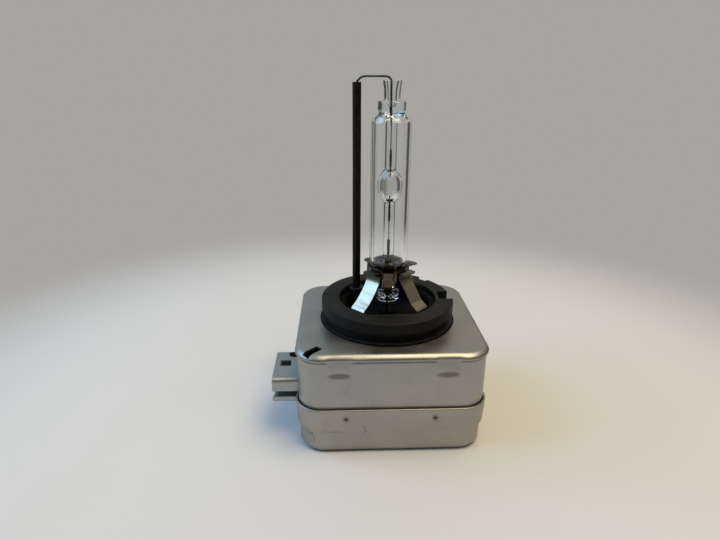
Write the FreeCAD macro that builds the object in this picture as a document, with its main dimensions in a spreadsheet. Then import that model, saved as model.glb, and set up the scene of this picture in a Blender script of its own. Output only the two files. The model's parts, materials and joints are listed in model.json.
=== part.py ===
"""Gas discharge headlight bulb with its igniter in the base, as a parametric FreeCAD document.

Frame: millimetres, +Z up along the lamp axis, origin where that axis crosses the reference plane,
which is the top face of the collar. The burner stands above that plane and the metal case hangs
below it. The connector leaves the case towards -X and the viewer's side is -Y.
"""

import FreeCAD
import Part
import math
import os

import Sketcher
from FreeCAD import Placement, Rotation, Vector

# ---------------------------------------------------------------- driving sizes

SIZES = {
    # collar: the moulded ring that locates the bulb in the reflector
    "flange_radius": 16.0,
    "flange_thickness": 2.7,
    "flange_edge": 0.25,
    "neck_radius": 14.8,
    "seat_radius": 16.1,
    "seat_top": 4.7,
    "keeper_radius": 18.4,
    "keeper_top": 5.7,
    "collar_bottom": 7.4,
    "recess_radius": 11.7,
    "recess_lip_depth": 1.5,
    "recess_wall_radius": 10.3,
    "recess_depth": 4.6,
    "recess_chord": 10.4,
    "chord_half": 5.9,
    "chord_overlap": 0.6,
    "tube_well_radius": 2.1,
    "key_sector_radius": 15.3,
    "key_slot_width": 4.4,
    "key_slot_reach": 12.5,
    "key_centre": 15.4,
    "key_length": 2.4,
    "rear_key_width": 3.0,
    "mark_width": 0.5,
    "mark_depth": 0.6,
    # metal case
    "case_half_x": 21.2,
    "case_half_y": 20.1,
    "case_corner": 5.5,
    "case_top": 5.2,
    "case_edge": 1.0,
    "case_hole_radius": 16.4,
    "corner_slot_radius": 25.3,
    "corner_slot_length": 5.0,
    "corner_slot_width": 1.9,
    "corner_slot_depth": 2.9,
    "side_cut": 3.0,
    "sheet": 0.5,
    "shell_bottom": 24.1,
    "cover_clearance": 0.15,
    "cover_rim": 18.5,
    "cover_step": 24.6,
    "cover_step_in": 0.75,
    "step_edge": 0.6,
    "step_overlap": 0.7,
    "cover_bottom": 30.0,
    "cover_edge": 1.6,
    "dent_left": 10.4,
    "dent_right": 9.5,
    "dent_height": 20.9,
    "dent_radius": 0.5,
    "dent_depth": 0.15,
    "lug_width": 5.0,
    "lug_offset": 11.8,
    "lug_height": 0.45,
    "lug_top": 6.7,
    "lug_peak": 9.2,
    "lug_bottom": 10.4,
    # connector
    "shroud_reach": 27.4,
    "shroud_root": 15.8,
    "shroud_front": 13.4,
    "shroud_rear": 0.2,
    "shroud_top": 14.8,
    "shroud_bottom": 21.1,
    "shroud_corner": 0.9,
    "shroud_sheet": 0.4,
    "window_far": 26.1,
    "window_near": 23.5,
    "window_front": 7.5,
    "window_rear": 4.8,
    "notch_far": 22.9,
    "notch_near": 21.5,
    "notch_front": 3.4,
    "notch_rear": 0.9,
    "notch_round": 1.3,
    "slit_near": 21.9,
    "slit_level": 18.1,
    "slit_bottom": 19.6,
    "socket_face": 17.6,
    "socket_back": 14.4,
    "pin_reach": 23.1,
    "pin_width": 1.5,
    "pin_height": 0.8,
    "pin_tail": 1.2,
    "pin_chamfer": 0.25,
    "pin_pitch": 3.5,
    # burner glass, heights above the reference plane
    "arc_height": 27.1,
    "arc_gap": 4.2,
    "bulb_radius": 2.85,
    "bulb_half": 4.2,
    "bulb_arc": 7.0,
    "bulb_neck": 1.65,
    "chamber_radius": 1.85,
    "chamber_half": 3.1,
    "chamber_arc": 3.9,
    "chamber_neck": 0.35,
    "stem_radius": 1.5,
    "stem_bottom": 5.2,
    "stem_taper": 0.4,
    "tube_bottom": -5.6,
    "tube_radius": 1.8,
    "tube_mouth_radius": 2.05,
    "tube_bore": 0.75,
    "tube_top": 49.6,
    "tube_bore_end": 44.2,
    "low_bore_end": 4.4,
    "bore_taper": 1.2,
    "mouth_bore": 1.15,
    "mouth_depth": 2.2,
    "sleeve_radius": 4.5,
    "sleeve_bore": 3.75,
    "sleeve_low": 4.2,
    "sleeve_high": 41.4,
    "sleeve_draw": 1.2,
    "shoulder_radius": 2.9,
    "seal_floor": 8.8,
    "bead_radius": 3.06,
    "bead_height": 2.2,
    "bead_edge": 0.3,
    "groove_radius": 2.35,
    "low_bead_base": -0.4,
    "high_bead_base": 43.2,
    # metal inside the glass
    "electrode_radius": 0.15,
    "electrode_length": 6.2,
    "foil_start": 7.4,
    "foil_length": 6.0,
    "foil_width": 1.5,
    "foil_thickness": 0.06,
    "lead_radius": 0.22,
    "lead_overlap": 0.9,
    "weld_gap": 0.01,
    "salt_radius": 0.26,
    "salt_depth": 0.09,
    # return lead and its insulator
    "rod_offset_x": 7.35,
    "rod_offset_y": 7.0,
    "rod_radius": 1.0,
    "rod_bore": 0.35,
    "rod_bottom": -5.6,
    "rod_top": 49.2,
    "rod_boss_radius": 2.0,
    "rod_boss_top": 0.3,
    "loop_height": 50.4,
    "loop_bend": 1.4,
    "lead_end": 11.4,
    # clamp band and the legs
    "band_bore": 4.52,
    "band_sheet": 0.3,
    "band_bottom": 3.7,
    "band_top": 8.4,
    "slit_width": 0.35,
    "slit_top": 7.7,
    "finger_width": 2.1,
    "tab_reach": 6.9,
    "tab_root": 0.8,
    "tab_width": 3.6,
    "tab_height": 6.9,
    "leg_width": 4.0,
    "leg_sheet": 0.3,
    "leg_setback": 0.2,
    "leg_heel": 5.0,
    "leg_heel_height": 0.5,
    "leg_crease_radius": 8.45,
    "leg_crease_height": 0.95,
    "leg_sweep": 9.0,
    "leg_toe": 0.1,
    "leg_toe_height": 0.75,
    "leg_anchor_radius": 10.7,
    "leg_anchor_depth": 3.6,
    # igniter
    "carrier_half_x": 19.9,
    "carrier_half_y": 18.8,
    "carrier_top": 7.4,
    "carrier_bottom": 29.1,
    "carrier_wall": 1.2,
    "carrier_corner": 4.2,
    "divider_x": 2.05,
    "divider_sheet": 0.9,
    "divider_bottom": 22.1,
    "hatch_margin": 0.5,
    "centre_hole": 2.0,
    "wire_hole": 1.3,
    "rib_root": 7.9,
    "rib_sheet": 1.2,
    "core_rib_half": 4.0,
    "capacitor_rib_x": -6.0,
    "capacitor_rib_front": -16.0,
    "capacitor_rib_rear": -5.0,
    "gap_rib_x": -6.4,
    "gap_rib_front": 10.6,
    "gap_rib_rear": 12.6,
    "coil_x": 10.6,
    "coil_z": 18.4,
    "core_radius": 3.1,
    "core_length": 31.0,
    "bobbin_tube": 3.9,
    "bobbin_flange": 6.6,
    "bobbin_length": 28.0,
    "section_wall": 0.8,
    "winding_radius": 6.0,
    "strip_radius": 6.95,
    "strip_sheet": 0.35,
    "strip_width": 2.2,
    "strip_gap": 1.2,
    "gap_radius": 4.0,
    "gap_bore": 2.9,
    "pole_radius": 1.6,
    "pole_length": 2.2,
    "cap_lip": 0.2,
    "gap_length": 6.0,
    "gap_x": -8.4,
    "gap_y": 11.6,
    "gap_z": 23.4,
    "capacitor_top": 14.2,
    "capacitor_bottom": 25.6,
    "capacitor_left": -9.6,
    "capacitor_right": 0.6,
    "capacitor_front": -17.0,
    "capacitor_rear": -3.6,
    "capacitor_edge": 0.7,
    "lead_x": -5.2,
    "lead_front": -15.4,
    "lead_rear": -5.6,
    "lead_width": 1.0,
    "lead_sheet": 0.5,
    "resistor_x": -12.4,
    "resistor_y": 0.6,
    "resistor_length": 6.4,
    "resistor_radius": 1.25,
    "resistor_edge": 0.5,
    "resistor_lead": 0.3,
    "supply_level": 27.6,
    "cap_sheet": 0.9,
    "busbar_sheet": 0.4,
    "busbar_width": 2.0,
    "bar_level": 12.8,
    "left_bar_x": -11.4,
    "coil_bar_x": 9.6,
    "coil_bar_y": -15.6,
    "coil_bar_depth": 1.8,
    "supply_bar_end": 1.4,
    "gap_bar_x": -7.6,
    "gap_bar_end": -4.0,
    "gap_bar_rear": 13.0,
    "contact_foot": 12.4,
    "contact_length": 2.2,
    "contact_wall": 0.5,
}

SECTIONS = 5
PRIMARY_TURNS = 4
TURN_ANGLE = 325.0
TOUCH = 1e-6
DIAGONAL_ANGLE = 45
TURN = 2 * math.pi
REAR_KEY_ANGLE = 47
SECTOR_ANGLES = (7.5, 43.0)
MARK_ANGLE = 175
SLOT_ANGLE = 225
ROD_AZIMUTH = math.degrees(math.atan2(SIZES["rod_offset_y"], -SIZES["rod_offset_x"]))
PIN_NAMES = ("terminal_pin_front", "terminal_pin_middle", "terminal_pin_rear")
LEG_ANGLES = {"front_left": 225, "front_right": 315, "rear_right": 45}

doc = FreeCAD.newDocument("headlight_bulb")
sheet = doc.addObject("Spreadsheet::Sheet", "Sizes")
for row, (alias, number) in enumerate(SIZES.items(), 1):
    sheet.set(f"A{row}", alias.replace("_", " "))
    sheet.set(f"B{row}", str(number))
    sheet.setAlias(f"B{row}", alias)
doc.recompute()

PARTS = {}


class Dim:
    """A length in millimetres together with the spreadsheet expression that drives it."""

    def __init__(self, value, text):
        self.value = value
        self.text = text

    def _join(self, other, sign, value):
        return Dim(value, f"({self.text} {sign} {dim(other).text})")

    def __add__(self, other):
        return self._join(other, "+", self.value + dim(other).value)

    def __sub__(self, other):
        return self._join(other, "-", self.value - dim(other).value)

    def __mul__(self, other):
        return self._join(other, "*", self.value * dim(other).value)

    def __truediv__(self, other):
        return self._join(other, "/", self.value / dim(other).value)

    def __neg__(self):
        return Dim(-self.value, f"(-1 * {self.text})")

    __radd__ = __add__
    __rmul__ = __mul__

    def __rsub__(self, other):
        return dim(other) - self


def dim(number):
    """The number as a Dim; a Dim comes back as it is."""
    return number if isinstance(number, Dim) else Dim(float(number), f"{float(number):.6f}")


class Cells:
    """Reads a spreadsheet cell by its alias, as in S.flange_radius."""

    def __getattr__(self, alias):
        return Dim(SIZES[alias], f"Sizes.{alias}")


S = Cells()


def drive(target, name, value):
    """Binds a property, or a path inside one, to a Dim's expression."""
    target.setExpression(name, dim(value).text)


# ---------------------------------------------------------------- sketches and features


def new_body(label, angle=0.0):
    """A body for one sub-part, turned about the lamp axis by angle degrees."""
    body = doc.addObject("PartDesign::Body", label)
    body.Label = label
    body.Placement = Placement(Vector(), Rotation(Vector(0, 0, 1), angle))
    PARTS[label] = body
    return body


def new_sketch(body, plane="XY_Plane", offset=0.0):
    """A sketch on one of the body's origin planes. XZ sketches look along +Y with their normal at -Y."""
    sketch = body.newObject("Sketcher::SketchObject", body.Name + "_sketch")
    base = next(f for f in body.Origin.OriginFeatures if f.Role == plane)
    sketch.AttachmentSupport = (base, [""])
    sketch.MapMode = "FlatFace"
    drive(sketch, "AttachmentOffset.Base.z", offset)
    return sketch


def constrain(sketch, kind, where, value):
    """Adds a dimension and binds it to its expression."""
    index = sketch.addConstraint(Sketcher.Constraint(kind, *where, value.value))
    sketch.setExpression(f"Constraints[{index}]", value.text)


def pin_point(sketch, geometry, end, x, y):
    """Holds one end of a sketch element at x, y."""
    for kind, value, axis in (("DistanceX", dim(x), -2), ("DistanceY", dim(y), -1)):
        if abs(value.value) < 1e-9:
            sketch.addConstraint(Sketcher.Constraint("PointOnObject", geometry, end, axis))
        else:
            constrain(sketch, kind, (-1, 1, geometry, end), value)


def minor_arc(start, end, radius):
    """The minor arc from start to end, which bulges to the left of that direction for a positive radius."""
    chord = end - start
    half = chord.Length / 2
    left = Vector(-chord.y, chord.x, 0).normalize()
    rise = math.sqrt(max(radius * radius - half * half, 0.0))
    centre = (start + end) / 2 - left * math.copysign(rise, radius)
    first, last = (end, start) if radius > 0 else (start, end)
    angles = [math.atan2(p.y - centre.y, p.x - centre.x) for p in (first, last)]
    if angles[1] < angles[0]:
        angles[1] += 2 * math.pi
    return Part.ArcOfCircle(Part.Circle(centre, Vector(0, 0, 1), abs(radius)), *angles)


def add_path(sketch, nodes, closed=True):
    """Draws lines and arcs through the nodes. A node is (x, y) or (x, y, radius of the arc to the next)."""
    nodes = [tuple(dim(n) for n in node) for node in nodes]
    points = [Vector(node[0].value, node[1].value, 0) for node in nodes]
    count = len(nodes) if closed else len(nodes) - 1
    spans = []
    for i in range(count):
        start, end = points[i], points[(i + 1) % len(nodes)]
        if len(nodes[i]) == 2:
            geometry = Part.LineSegment(start, end)
        else:
            geometry = minor_arc(start, end, nodes[i][2].value)
        index = sketch.addGeometry(geometry, False)
        drawn = sketch.Geometry[index]
        forward = drawn.StartPoint.distanceToPoint(start) < TOUCH
        spans.append((index, 1 if forward else 2, 2 if forward else 1))
    for i, (index, first, last) in enumerate(spans):
        pin_point(sketch, index, first, nodes[i][0], nodes[i][1])
        if len(nodes[i]) == 3:
            radius = nodes[i][2]
            constrain(sketch, "Radius", (index,), radius if radius.value > 0 else -radius)
        if closed or i + 1 < count:
            following = spans[(i + 1) % count]
            sketch.addConstraint(
                Sketcher.Constraint("Coincident", index, last, following[0], following[1])
            )
        else:
            pin_point(sketch, index, last, nodes[-1][0], nodes[-1][1])
    return sketch


def add_circle(sketch, radius, x=0.0, y=0.0):
    """Draws a circle about x, y."""
    x, y, radius = dim(x), dim(y), dim(radius)
    circle = Part.Circle(Vector(x.value, y.value, 0), Vector(0, 0, 1), radius.value)
    index = sketch.addGeometry(circle, False)
    pin_point(sketch, index, 3, x, y)
    constrain(sketch, "Radius", (index,), radius)
    return sketch


def rectangle(x_low, x_high, y_low, y_high):
    """The corner nodes of an upright rectangle."""
    return [(x_low, y_low), (x_high, y_low), (x_high, y_high), (x_low, y_high)]


def centred(half_x, half_y):
    """The corner nodes of a rectangle about the sketch's origin."""
    return rectangle(-half_x, half_x, -half_y, half_y)


def turned_rectangle(radius, depth, width, angle):
    """The corners of a depth by width rectangle whose middle lies at radius, at angle degrees."""
    cosine, sine = math.cos(math.radians(angle)), math.sin(math.radians(angle))
    corners = ((-0.5, -0.5), (0.5, -0.5), (0.5, 0.5), (-0.5, 0.5))
    local = [(radius + depth * u, dim(width) * v) for u, v in corners]
    return [(x * cosine - y * sine, x * sine + y * cosine) for x, y in local]


def add_feature(body, kind, sketch, **settings):
    """Adds a sketch-based feature, binds its sizes and recomputes, so that later steps can read it."""
    feature = body.newObject("PartDesign::" + kind, body.Name + "_" + kind.lower())
    feature.Profile = sketch
    sketch.Visibility = False
    for name, value in settings.items():
        if isinstance(value, Dim):
            drive(feature, name, value)
        else:
            setattr(feature, name, value)
    doc.recompute()
    return feature


def pad(body, sketch, length, down=False, both_ways=False):
    """Pads a sketch along its normal, against it with down, or equally both ways."""
    return add_feature(
        body, "Pad", sketch, Length=dim(length), Reversed=down, Midplane=both_ways
    )


def pocket(body, sketch, length, up=False, both_ways=False):
    """Cuts against the sketch's normal, or along it with up, and stops if nothing was cut."""
    before = body.Shape.Volume
    feature = add_feature(
        body, "Pocket", sketch, Length=dim(length), Reversed=up, Midplane=both_ways
    )
    if feature.Shape.Volume > before - 1e-6:
        raise RuntimeError(f"{body.Label}: a pocket cut nothing")
    return feature


def revolve(body, sketch, angle=360.0, cut=False):
    """Turns a sketch about its own vertical axis, as a solid or as a groove."""
    kind = "Groove" if cut else "Revolution"
    return add_feature(body, kind, sketch, ReferenceAxis=(sketch, ["V_Axis"]), Angle=angle)


def dress(body, kind, chosen, size):
    """Fillets or chamfers the body's edges that chosen(edge) picks."""
    base = body.Tip
    names = [f"Edge{i}" for i, edge in enumerate(base.Shape.Edges, 1) if chosen(edge)]
    if not names:
        raise RuntimeError(f"{body.Label}: no edge to {kind.lower()}")
    feature = body.newObject("PartDesign::" + kind, body.Name + "_" + kind.lower())
    feature.Base = (base, names)
    drive(feature, "Radius" if kind == "Fillet" else "Size", size)
    doc.recompute()
    return feature


def upright(edge):
    """True for a straight edge along Z."""
    ends = [v.Point for v in edge.Vertexes]
    return len(ends) == 2 and (ends[1] - ends[0]).cross(Vector(0, 0, 1)).Length < TOUCH


def at_height(height, inside=None):
    """Picks edges that lie flat at a height, optionally only those whose box spans less than inside."""

    def chosen(edge):
        box = edge.BoundBox
        flat = abs(box.ZMin - height) < TOUCH and abs(box.ZMax - height) < TOUCH
        return flat and (inside is None or box.DiagonalLength < inside)

    return chosen


def polar(body, feature, count):
    """Repeats a feature about the lamp axis."""
    pattern = body.newObject("PartDesign::PolarPattern", body.Name + "_pattern")
    pattern.Originals = [feature]
    pattern.Axis = (next(f for f in body.Origin.OriginFeatures if f.Role == "Z_Axis"), [""])
    pattern.Angle = 360
    pattern.Occurrences = count
    body.Tip = pattern
    doc.recompute()
    return pattern


def part_object(kind, label, keep=True, **sizes):
    """A Part primitive or boolean with its sizes bound to the sheet."""
    item = doc.addObject("Part::" + kind, label)
    item.Label = label
    for name, value in sizes.items():
        if isinstance(value, Dim):
            drive(item, name, value)
        else:
            setattr(item, name, value)
    if keep:
        PARTS[label] = item
    return item


def place(item, x, y, z, rotation=None):
    """Puts a primitive at x, y, z, each of them bound to the sheet."""
    item.Placement = Placement(Vector(), rotation or Rotation())
    for axis, value in zip("xyz", (x, y, z)):
        drive(item, f"Placement.Base.{axis}", value)
    return item


ALONG_X = Rotation(Vector(0, 1, 0), 90)
ALONG_Y = Rotation(Vector(1, 0, 0), -90)


def cylinder(label, radius, height, x, y, z, rotation=None, keep=True):
    """A cylinder that starts at x, y, z and runs along +Z, or along its rotated axis."""
    item = part_object("Cylinder", label, keep, Radius=dim(radius), Height=dim(height))
    return place(item, x, y, z, rotation)


def box(label, x, y, z, length, width, height, keep=True):
    """A box with its lowest corner at x, y, z."""
    item = part_object(
        "Box", label, keep, Length=dim(length), Width=dim(width), Height=dim(height)
    )
    return place(item, x, y, z)


# ---------------------------------------------------------------- burner glass


def make_arc_tube():
    """Inner quartz vessel: a swollen discharge chamber between two sealed stems with open tube ends."""
    body = new_body("arc_tube")
    centre = S.arc_height
    neck = S.bulb_neck
    bulge_low = centre - S.bulb_half
    bulge_high = centre + S.bulb_half
    outline = [
        (0, S.tube_bottom),
        (S.tube_radius, S.tube_bottom),
        (S.tube_radius, S.stem_bottom),
        (S.stem_radius, S.stem_bottom + S.stem_taper),
        (S.stem_radius, bulge_low - S.stem_taper),
        (neck, bulge_low, -S.bulb_arc),
        (S.bulb_radius, centre, -S.bulb_arc),
        (neck, bulge_high),
        (S.stem_radius, bulge_high + S.stem_taper),
        (S.stem_radius, S.sleeve_high),
        (S.tube_radius, S.sleeve_high + S.stem_taper),
        (S.tube_radius, S.tube_top - S.mouth_depth),
        (S.tube_mouth_radius, S.tube_top),
        (0, S.tube_top),
    ]
    revolve(body, add_path(new_sketch(body, "XZ_Plane"), outline))
    chamber = [
        (0, centre - S.chamber_half),
        (S.chamber_neck, centre - S.chamber_half, -S.chamber_arc),
        (S.chamber_radius, centre, -S.chamber_arc),
        (S.chamber_neck, centre + S.chamber_half),
        (0, centre + S.chamber_half),
    ]
    revolve(body, add_path(new_sketch(body, "XZ_Plane"), chamber), cut=True)
    high_bore = [
        (0, S.tube_bore_end),
        (S.tube_bore, S.tube_bore_end + S.bore_taper),
        (S.tube_bore, S.tube_top - S.mouth_depth),
        (S.mouth_bore, S.tube_top),
        (0, S.tube_top),
    ]
    revolve(body, add_path(new_sketch(body, "XZ_Plane"), high_bore), cut=True)
    low_bore = [
        (0, S.tube_bottom),
        (S.tube_bore, S.tube_bottom),
        (S.tube_bore, S.low_bore_end - S.bore_taper),
        (0, S.low_bore_end),
    ]
    revolve(body, add_path(new_sketch(body, "XZ_Plane"), low_bore), cut=True)


def bead_outline(base, outward):
    """The side of a fused bead from its inner end outwards; outward is 1 for the upper one."""
    near = base if outward > 0 else base + S.bead_height
    far = near + S.bead_height * outward
    return [
        (S.groove_radius, near - S.bead_edge * outward),
        (S.bead_radius - S.bead_edge, near),
        (S.bead_radius, near + S.bead_edge * outward),
        (S.bead_radius, far - S.bead_edge * outward),
        (S.bead_radius - S.bead_edge, far),
        (S.tube_radius, far),
    ]


def make_outer_sleeve():
    """Ultraviolet-blocking glass sleeve, drawn in at both ends and fused to the inner tube in a bead."""
    body = new_body("outer_sleeve")
    low = S.sleeve_low
    high = S.sleeve_high
    draw = S.sleeve_draw
    outline = [
        (S.tube_radius, S.low_bead_base),
        *reversed(bead_outline(S.low_bead_base, -1)[:-1]),
        (S.shoulder_radius, low - draw, -draw),
        (S.sleeve_radius, low),
        (S.sleeve_radius, high, -draw),
        (S.shoulder_radius, high + draw),
        *bead_outline(S.high_bead_base, 1),
        (S.tube_radius, high + S.stem_taper),
        (S.stem_radius, high),
        (S.sleeve_bore - draw, high),
        (S.sleeve_bore, high - draw),
        (S.sleeve_bore, S.seal_floor + draw),
        (S.sleeve_bore - draw, S.seal_floor),
        (S.stem_radius, S.seal_floor),
        (S.stem_radius, S.stem_bottom + S.stem_taper),
        (S.tube_radius, S.stem_bottom),
    ]
    revolve(body, add_path(new_sketch(body, "XZ_Plane"), outline))


def make_seal_metal(name, outward):
    """Electrode and foil of one end; outward is 1 for the upper end. Returns the height of the lead."""
    tip = S.arc_height + S.arc_gap * 0.5 * outward
    low = tip if outward > 0 else tip - S.electrode_length
    cylinder("electrode_" + name, S.electrode_radius, S.electrode_length, 0, 0, low)
    start = S.arc_height + S.foil_start * outward
    low = start if outward > 0 else start - S.foil_length
    width = S.foil_width
    beside = S.lead_radius + S.weld_gap
    foil_x = beside if outward > 0 else -(beside + S.foil_thickness)
    box("foil_" + name, foil_x, -(width * 0.5), low, S.foil_thickness, width, S.foil_length)
    return start + (S.foil_length - S.lead_overlap) * outward


def make_return_wire(lead_start):
    """Return lead: out of the upper seal, over the top in a loop and down inside the insulator."""
    body = new_body("return_wire", ROD_AZIMUTH)
    reach = math.hypot(SIZES["rod_offset_x"], SIZES["rod_offset_y"])
    bend = S.loop_bend
    top = S.loop_height
    route = [
        (0, lead_start),
        (0, top - bend, bend),
        (bend, top),
        (reach - bend, top, bend),
        (reach, top - bend),
        (reach, -S.lead_end),
    ]
    path = add_path(new_sketch(body, "XZ_Plane"), route, closed=False)
    section = add_circle(new_sketch(body, "XY_Plane", lead_start), S.lead_radius)
    add_feature(body, "AdditivePipe", section, Spine=path)


def make_insulator():
    """Dark ceramic tube around the return lead."""
    body = new_body("return_insulator")
    sketch = new_sketch(body, "XY_Plane", S.rod_bottom)
    add_circle(sketch, S.rod_radius, -S.rod_offset_x, S.rod_offset_y)
    add_circle(sketch, S.rod_bore, -S.rod_offset_x, S.rod_offset_y)
    pad(body, sketch, S.rod_top - S.rod_bottom)


def make_salt_pool():
    """Metal halide salts, frozen in a thin ring round the foot of the lower electrode."""
    floor = S.arc_height - S.chamber_half
    outer = cylinder("salt_outer", S.salt_radius, S.salt_depth, 0, 0, floor, keep=False)
    hole = cylinder("salt_hole", S.electrode_radius, S.salt_depth, 0, 0, floor, keep=False)
    part_object("Cut", "halide_salt_pool", Base=outer, Tool=hole)


# ---------------------------------------------------------------- burner holder


def make_clamp_band():
    """Slit steel band round the foot of the sleeve, with four welding tabs bent outwards."""
    body = new_body("clamp_band")
    outer = S.band_bore + S.band_sheet
    ring = new_sketch(body, "XY_Plane", S.band_bottom)
    add_circle(ring, outer)
    add_circle(ring, S.band_bore)
    pad(body, ring, S.band_top - S.band_bottom)
    slit_height = S.slit_top - S.band_bottom
    for side in (-1, 1):
        offset = (S.finger_width + S.slit_width) * 0.5 * side
        half = S.slit_width * 0.5
        slit = new_sketch(body, "XY_Plane", S.band_bottom)
        near = S.band_bore - S.slit_width
        add_path(slit, rectangle(near, outer + S.slit_width, offset - half, offset + half))
        polar(body, pocket(body, slit, slit_height, up=True), 4)
    tab = new_sketch(body, "XY_Plane", S.tab_height)
    inner = S.band_bore - S.tab_root
    length = S.tab_reach - inner
    add_path(tab, turned_rectangle((inner + S.tab_reach) * 0.5, length, S.tab_width, DIAGONAL_ANGLE))
    polar(body, pad(body, tab, S.band_sheet), 4)
    bore = add_circle(new_sketch(body, "XY_Plane", S.band_bottom), S.band_bore)
    pocket(body, bore, S.band_top - S.band_bottom, up=True)


def make_leg(name, angle):
    """Sprung steel leg: a ledge welded under the tab, a sweep outwards and an anchor in the collar."""
    body = new_body(name, angle)
    sheet_in = S.leg_sheet
    ledge = S.tab_height
    end = S.tab_reach - S.leg_setback
    anchor = S.leg_anchor_radius
    profile = [
        (end, ledge),
        (S.leg_heel, ledge),
        (S.leg_heel, ledge - S.leg_heel_height),
        (S.leg_crease_radius, S.leg_crease_height, S.leg_sweep),
        (anchor - S.leg_toe, -S.leg_toe_height),
        (anchor, -S.leg_toe_height - sheet_in),
        (anchor, -S.leg_anchor_depth),
        (anchor + sheet_in, -S.leg_anchor_depth),
        (anchor + sheet_in, -S.leg_toe_height - sheet_in + S.leg_toe),
        (anchor + S.leg_toe, S.leg_toe - S.leg_toe_height, -S.leg_sweep),
        (S.leg_crease_radius + sheet_in - S.leg_toe, S.leg_crease_height + sheet_in - S.leg_toe),
        (S.leg_heel + sheet_in + S.leg_toe, ledge - S.leg_heel_height),
        (S.leg_heel + sheet_in + S.leg_toe, ledge - sheet_in),
        (end, ledge - sheet_in),
    ]
    sketch = add_path(new_sketch(body, "XZ_Plane"), profile)
    pad(body, sketch, S.leg_width, both_ways=True)


# ---------------------------------------------------------------- collar


def make_collar():
    """Moulded collar: keyed locating flange, locking groove, and a recess round the foot of the burner."""
    body = new_body("base_collar")
    outline = [
        (S.recess_radius, 0),
        (S.flange_radius, 0),
        (S.flange_radius, -S.flange_thickness),
        (S.neck_radius, -S.flange_thickness),
        (S.neck_radius, -S.seat_top),
        (S.seat_radius, -S.seat_top),
        (S.seat_radius, -S.keeper_top),
        (S.keeper_radius, -S.keeper_top),
        (S.keeper_radius, -S.collar_bottom),
        (S.tube_well_radius, -S.collar_bottom),
        (S.tube_well_radius, -S.recess_depth),
        (S.recess_wall_radius, -S.recess_depth),
        (S.recess_wall_radius, -S.recess_lip_depth),
    ]
    revolve(body, add_path(new_sketch(body, "XZ_Plane"), outline))
    dress(body, "Fillet", at_height(0, inside=SIZES["flange_radius"] * TURN), S.flange_edge)

    chord = new_sketch(body, "XY_Plane", -S.recess_depth)
    half = S.chord_half
    add_path(chord, rectangle(-half, half, -(S.recess_radius + S.chord_overlap), -S.recess_chord))
    pad(body, chord, S.recess_depth - S.flange_edge)

    boss = new_sketch(body, "XY_Plane", -S.recess_depth)
    add_circle(boss, S.rod_boss_radius, -S.rod_offset_x, S.rod_offset_y)
    pad(body, boss, S.recess_depth - S.rod_boss_top)
    seat = new_sketch(body, "XY_Plane", -S.rod_boss_top)
    add_circle(seat, S.rod_radius, -S.rod_offset_x, S.rod_offset_y)
    pocket(body, seat, -S.rod_boss_top - S.rod_bottom)
    wire_hole = new_sketch(body, "XY_Plane", -S.rod_boss_top)
    add_circle(wire_hole, S.rod_bore, -S.rod_offset_x, S.rod_offset_y)
    pocket(body, wire_hole, S.collar_bottom)

    anchor_middle = S.leg_anchor_radius + S.leg_sheet * 0.5
    for angle in LEG_ANGLES.values():
        anchor = new_sketch(body, "XY_Plane", S.flange_edge)
        add_path(anchor, turned_rectangle(anchor_middle, S.leg_sheet, S.leg_width, angle))
        pocket(body, anchor, S.leg_anchor_depth + S.flange_edge)

    cut_keys(body)


def cut_keys(body):
    """The keying cuts in the flange, which let the bulb into its holder one way round."""
    spare = S.flange_edge
    depth = S.flange_thickness + spare
    half = S.key_slot_width * 0.5
    side_slot = new_sketch(body, "XY_Plane", spare)
    add_path(side_slot, rectangle(S.key_slot_reach, S.flange_radius + 1, -half, half))
    pocket(body, side_slot, depth)

    rear_slot = new_sketch(body, "XY_Plane", spare)
    add_path(rear_slot, turned_rectangle(S.key_centre, S.key_length, S.rear_key_width, REAR_KEY_ANGLE))
    pocket(body, rear_slot, depth)

    sector = new_sketch(body, "XY_Plane", spare)
    inner = S.key_sector_radius
    outer = S.key_centre + S.key_length * 0.5
    near, far = (math.radians(angle) for angle in SECTOR_ANGLES)
    corners = [
        (inner * math.cos(near), inner * math.sin(near), -inner),
        (inner * math.cos(far), inner * math.sin(far)),
        (outer * math.cos(far), outer * math.sin(far), outer),
        (outer * math.cos(near), outer * math.sin(near)),
    ]
    add_path(sector, corners)
    pocket(body, sector, depth)

    mark = new_sketch(body, "XY_Plane", spare)
    add_path(mark, turned_rectangle(S.key_centre, S.key_length, S.mark_width, MARK_ANGLE))
    pocket(body, mark, S.mark_depth)


# ---------------------------------------------------------------- metal case


def rounded_block(body, half_x, half_y, top, bottom, corner):
    """Pads a rectangle down from top to bottom and rounds its four upright edges."""
    sketch = add_path(new_sketch(body, "XY_Plane", -top), centred(half_x, half_y))
    pad(body, sketch, bottom - top, down=True)
    dress(body, "Fillet", upright, corner)


def rounded_outline(sketch, half_x, half_y, corner):
    """Draws a rectangle with rounded corners about the sketch's origin."""
    inner_x, inner_y = half_x - corner, half_y - corner
    nodes = [
        (-inner_x, -half_y),
        (inner_x, -half_y, -corner),
        (half_x, -inner_y),
        (half_x, inner_y, -corner),
        (inner_x, half_y),
        (-inner_x, half_y, -corner),
        (-half_x, inner_y),
        (-half_x, -inner_y, -corner),
    ]
    return add_path(sketch, nodes)


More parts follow.
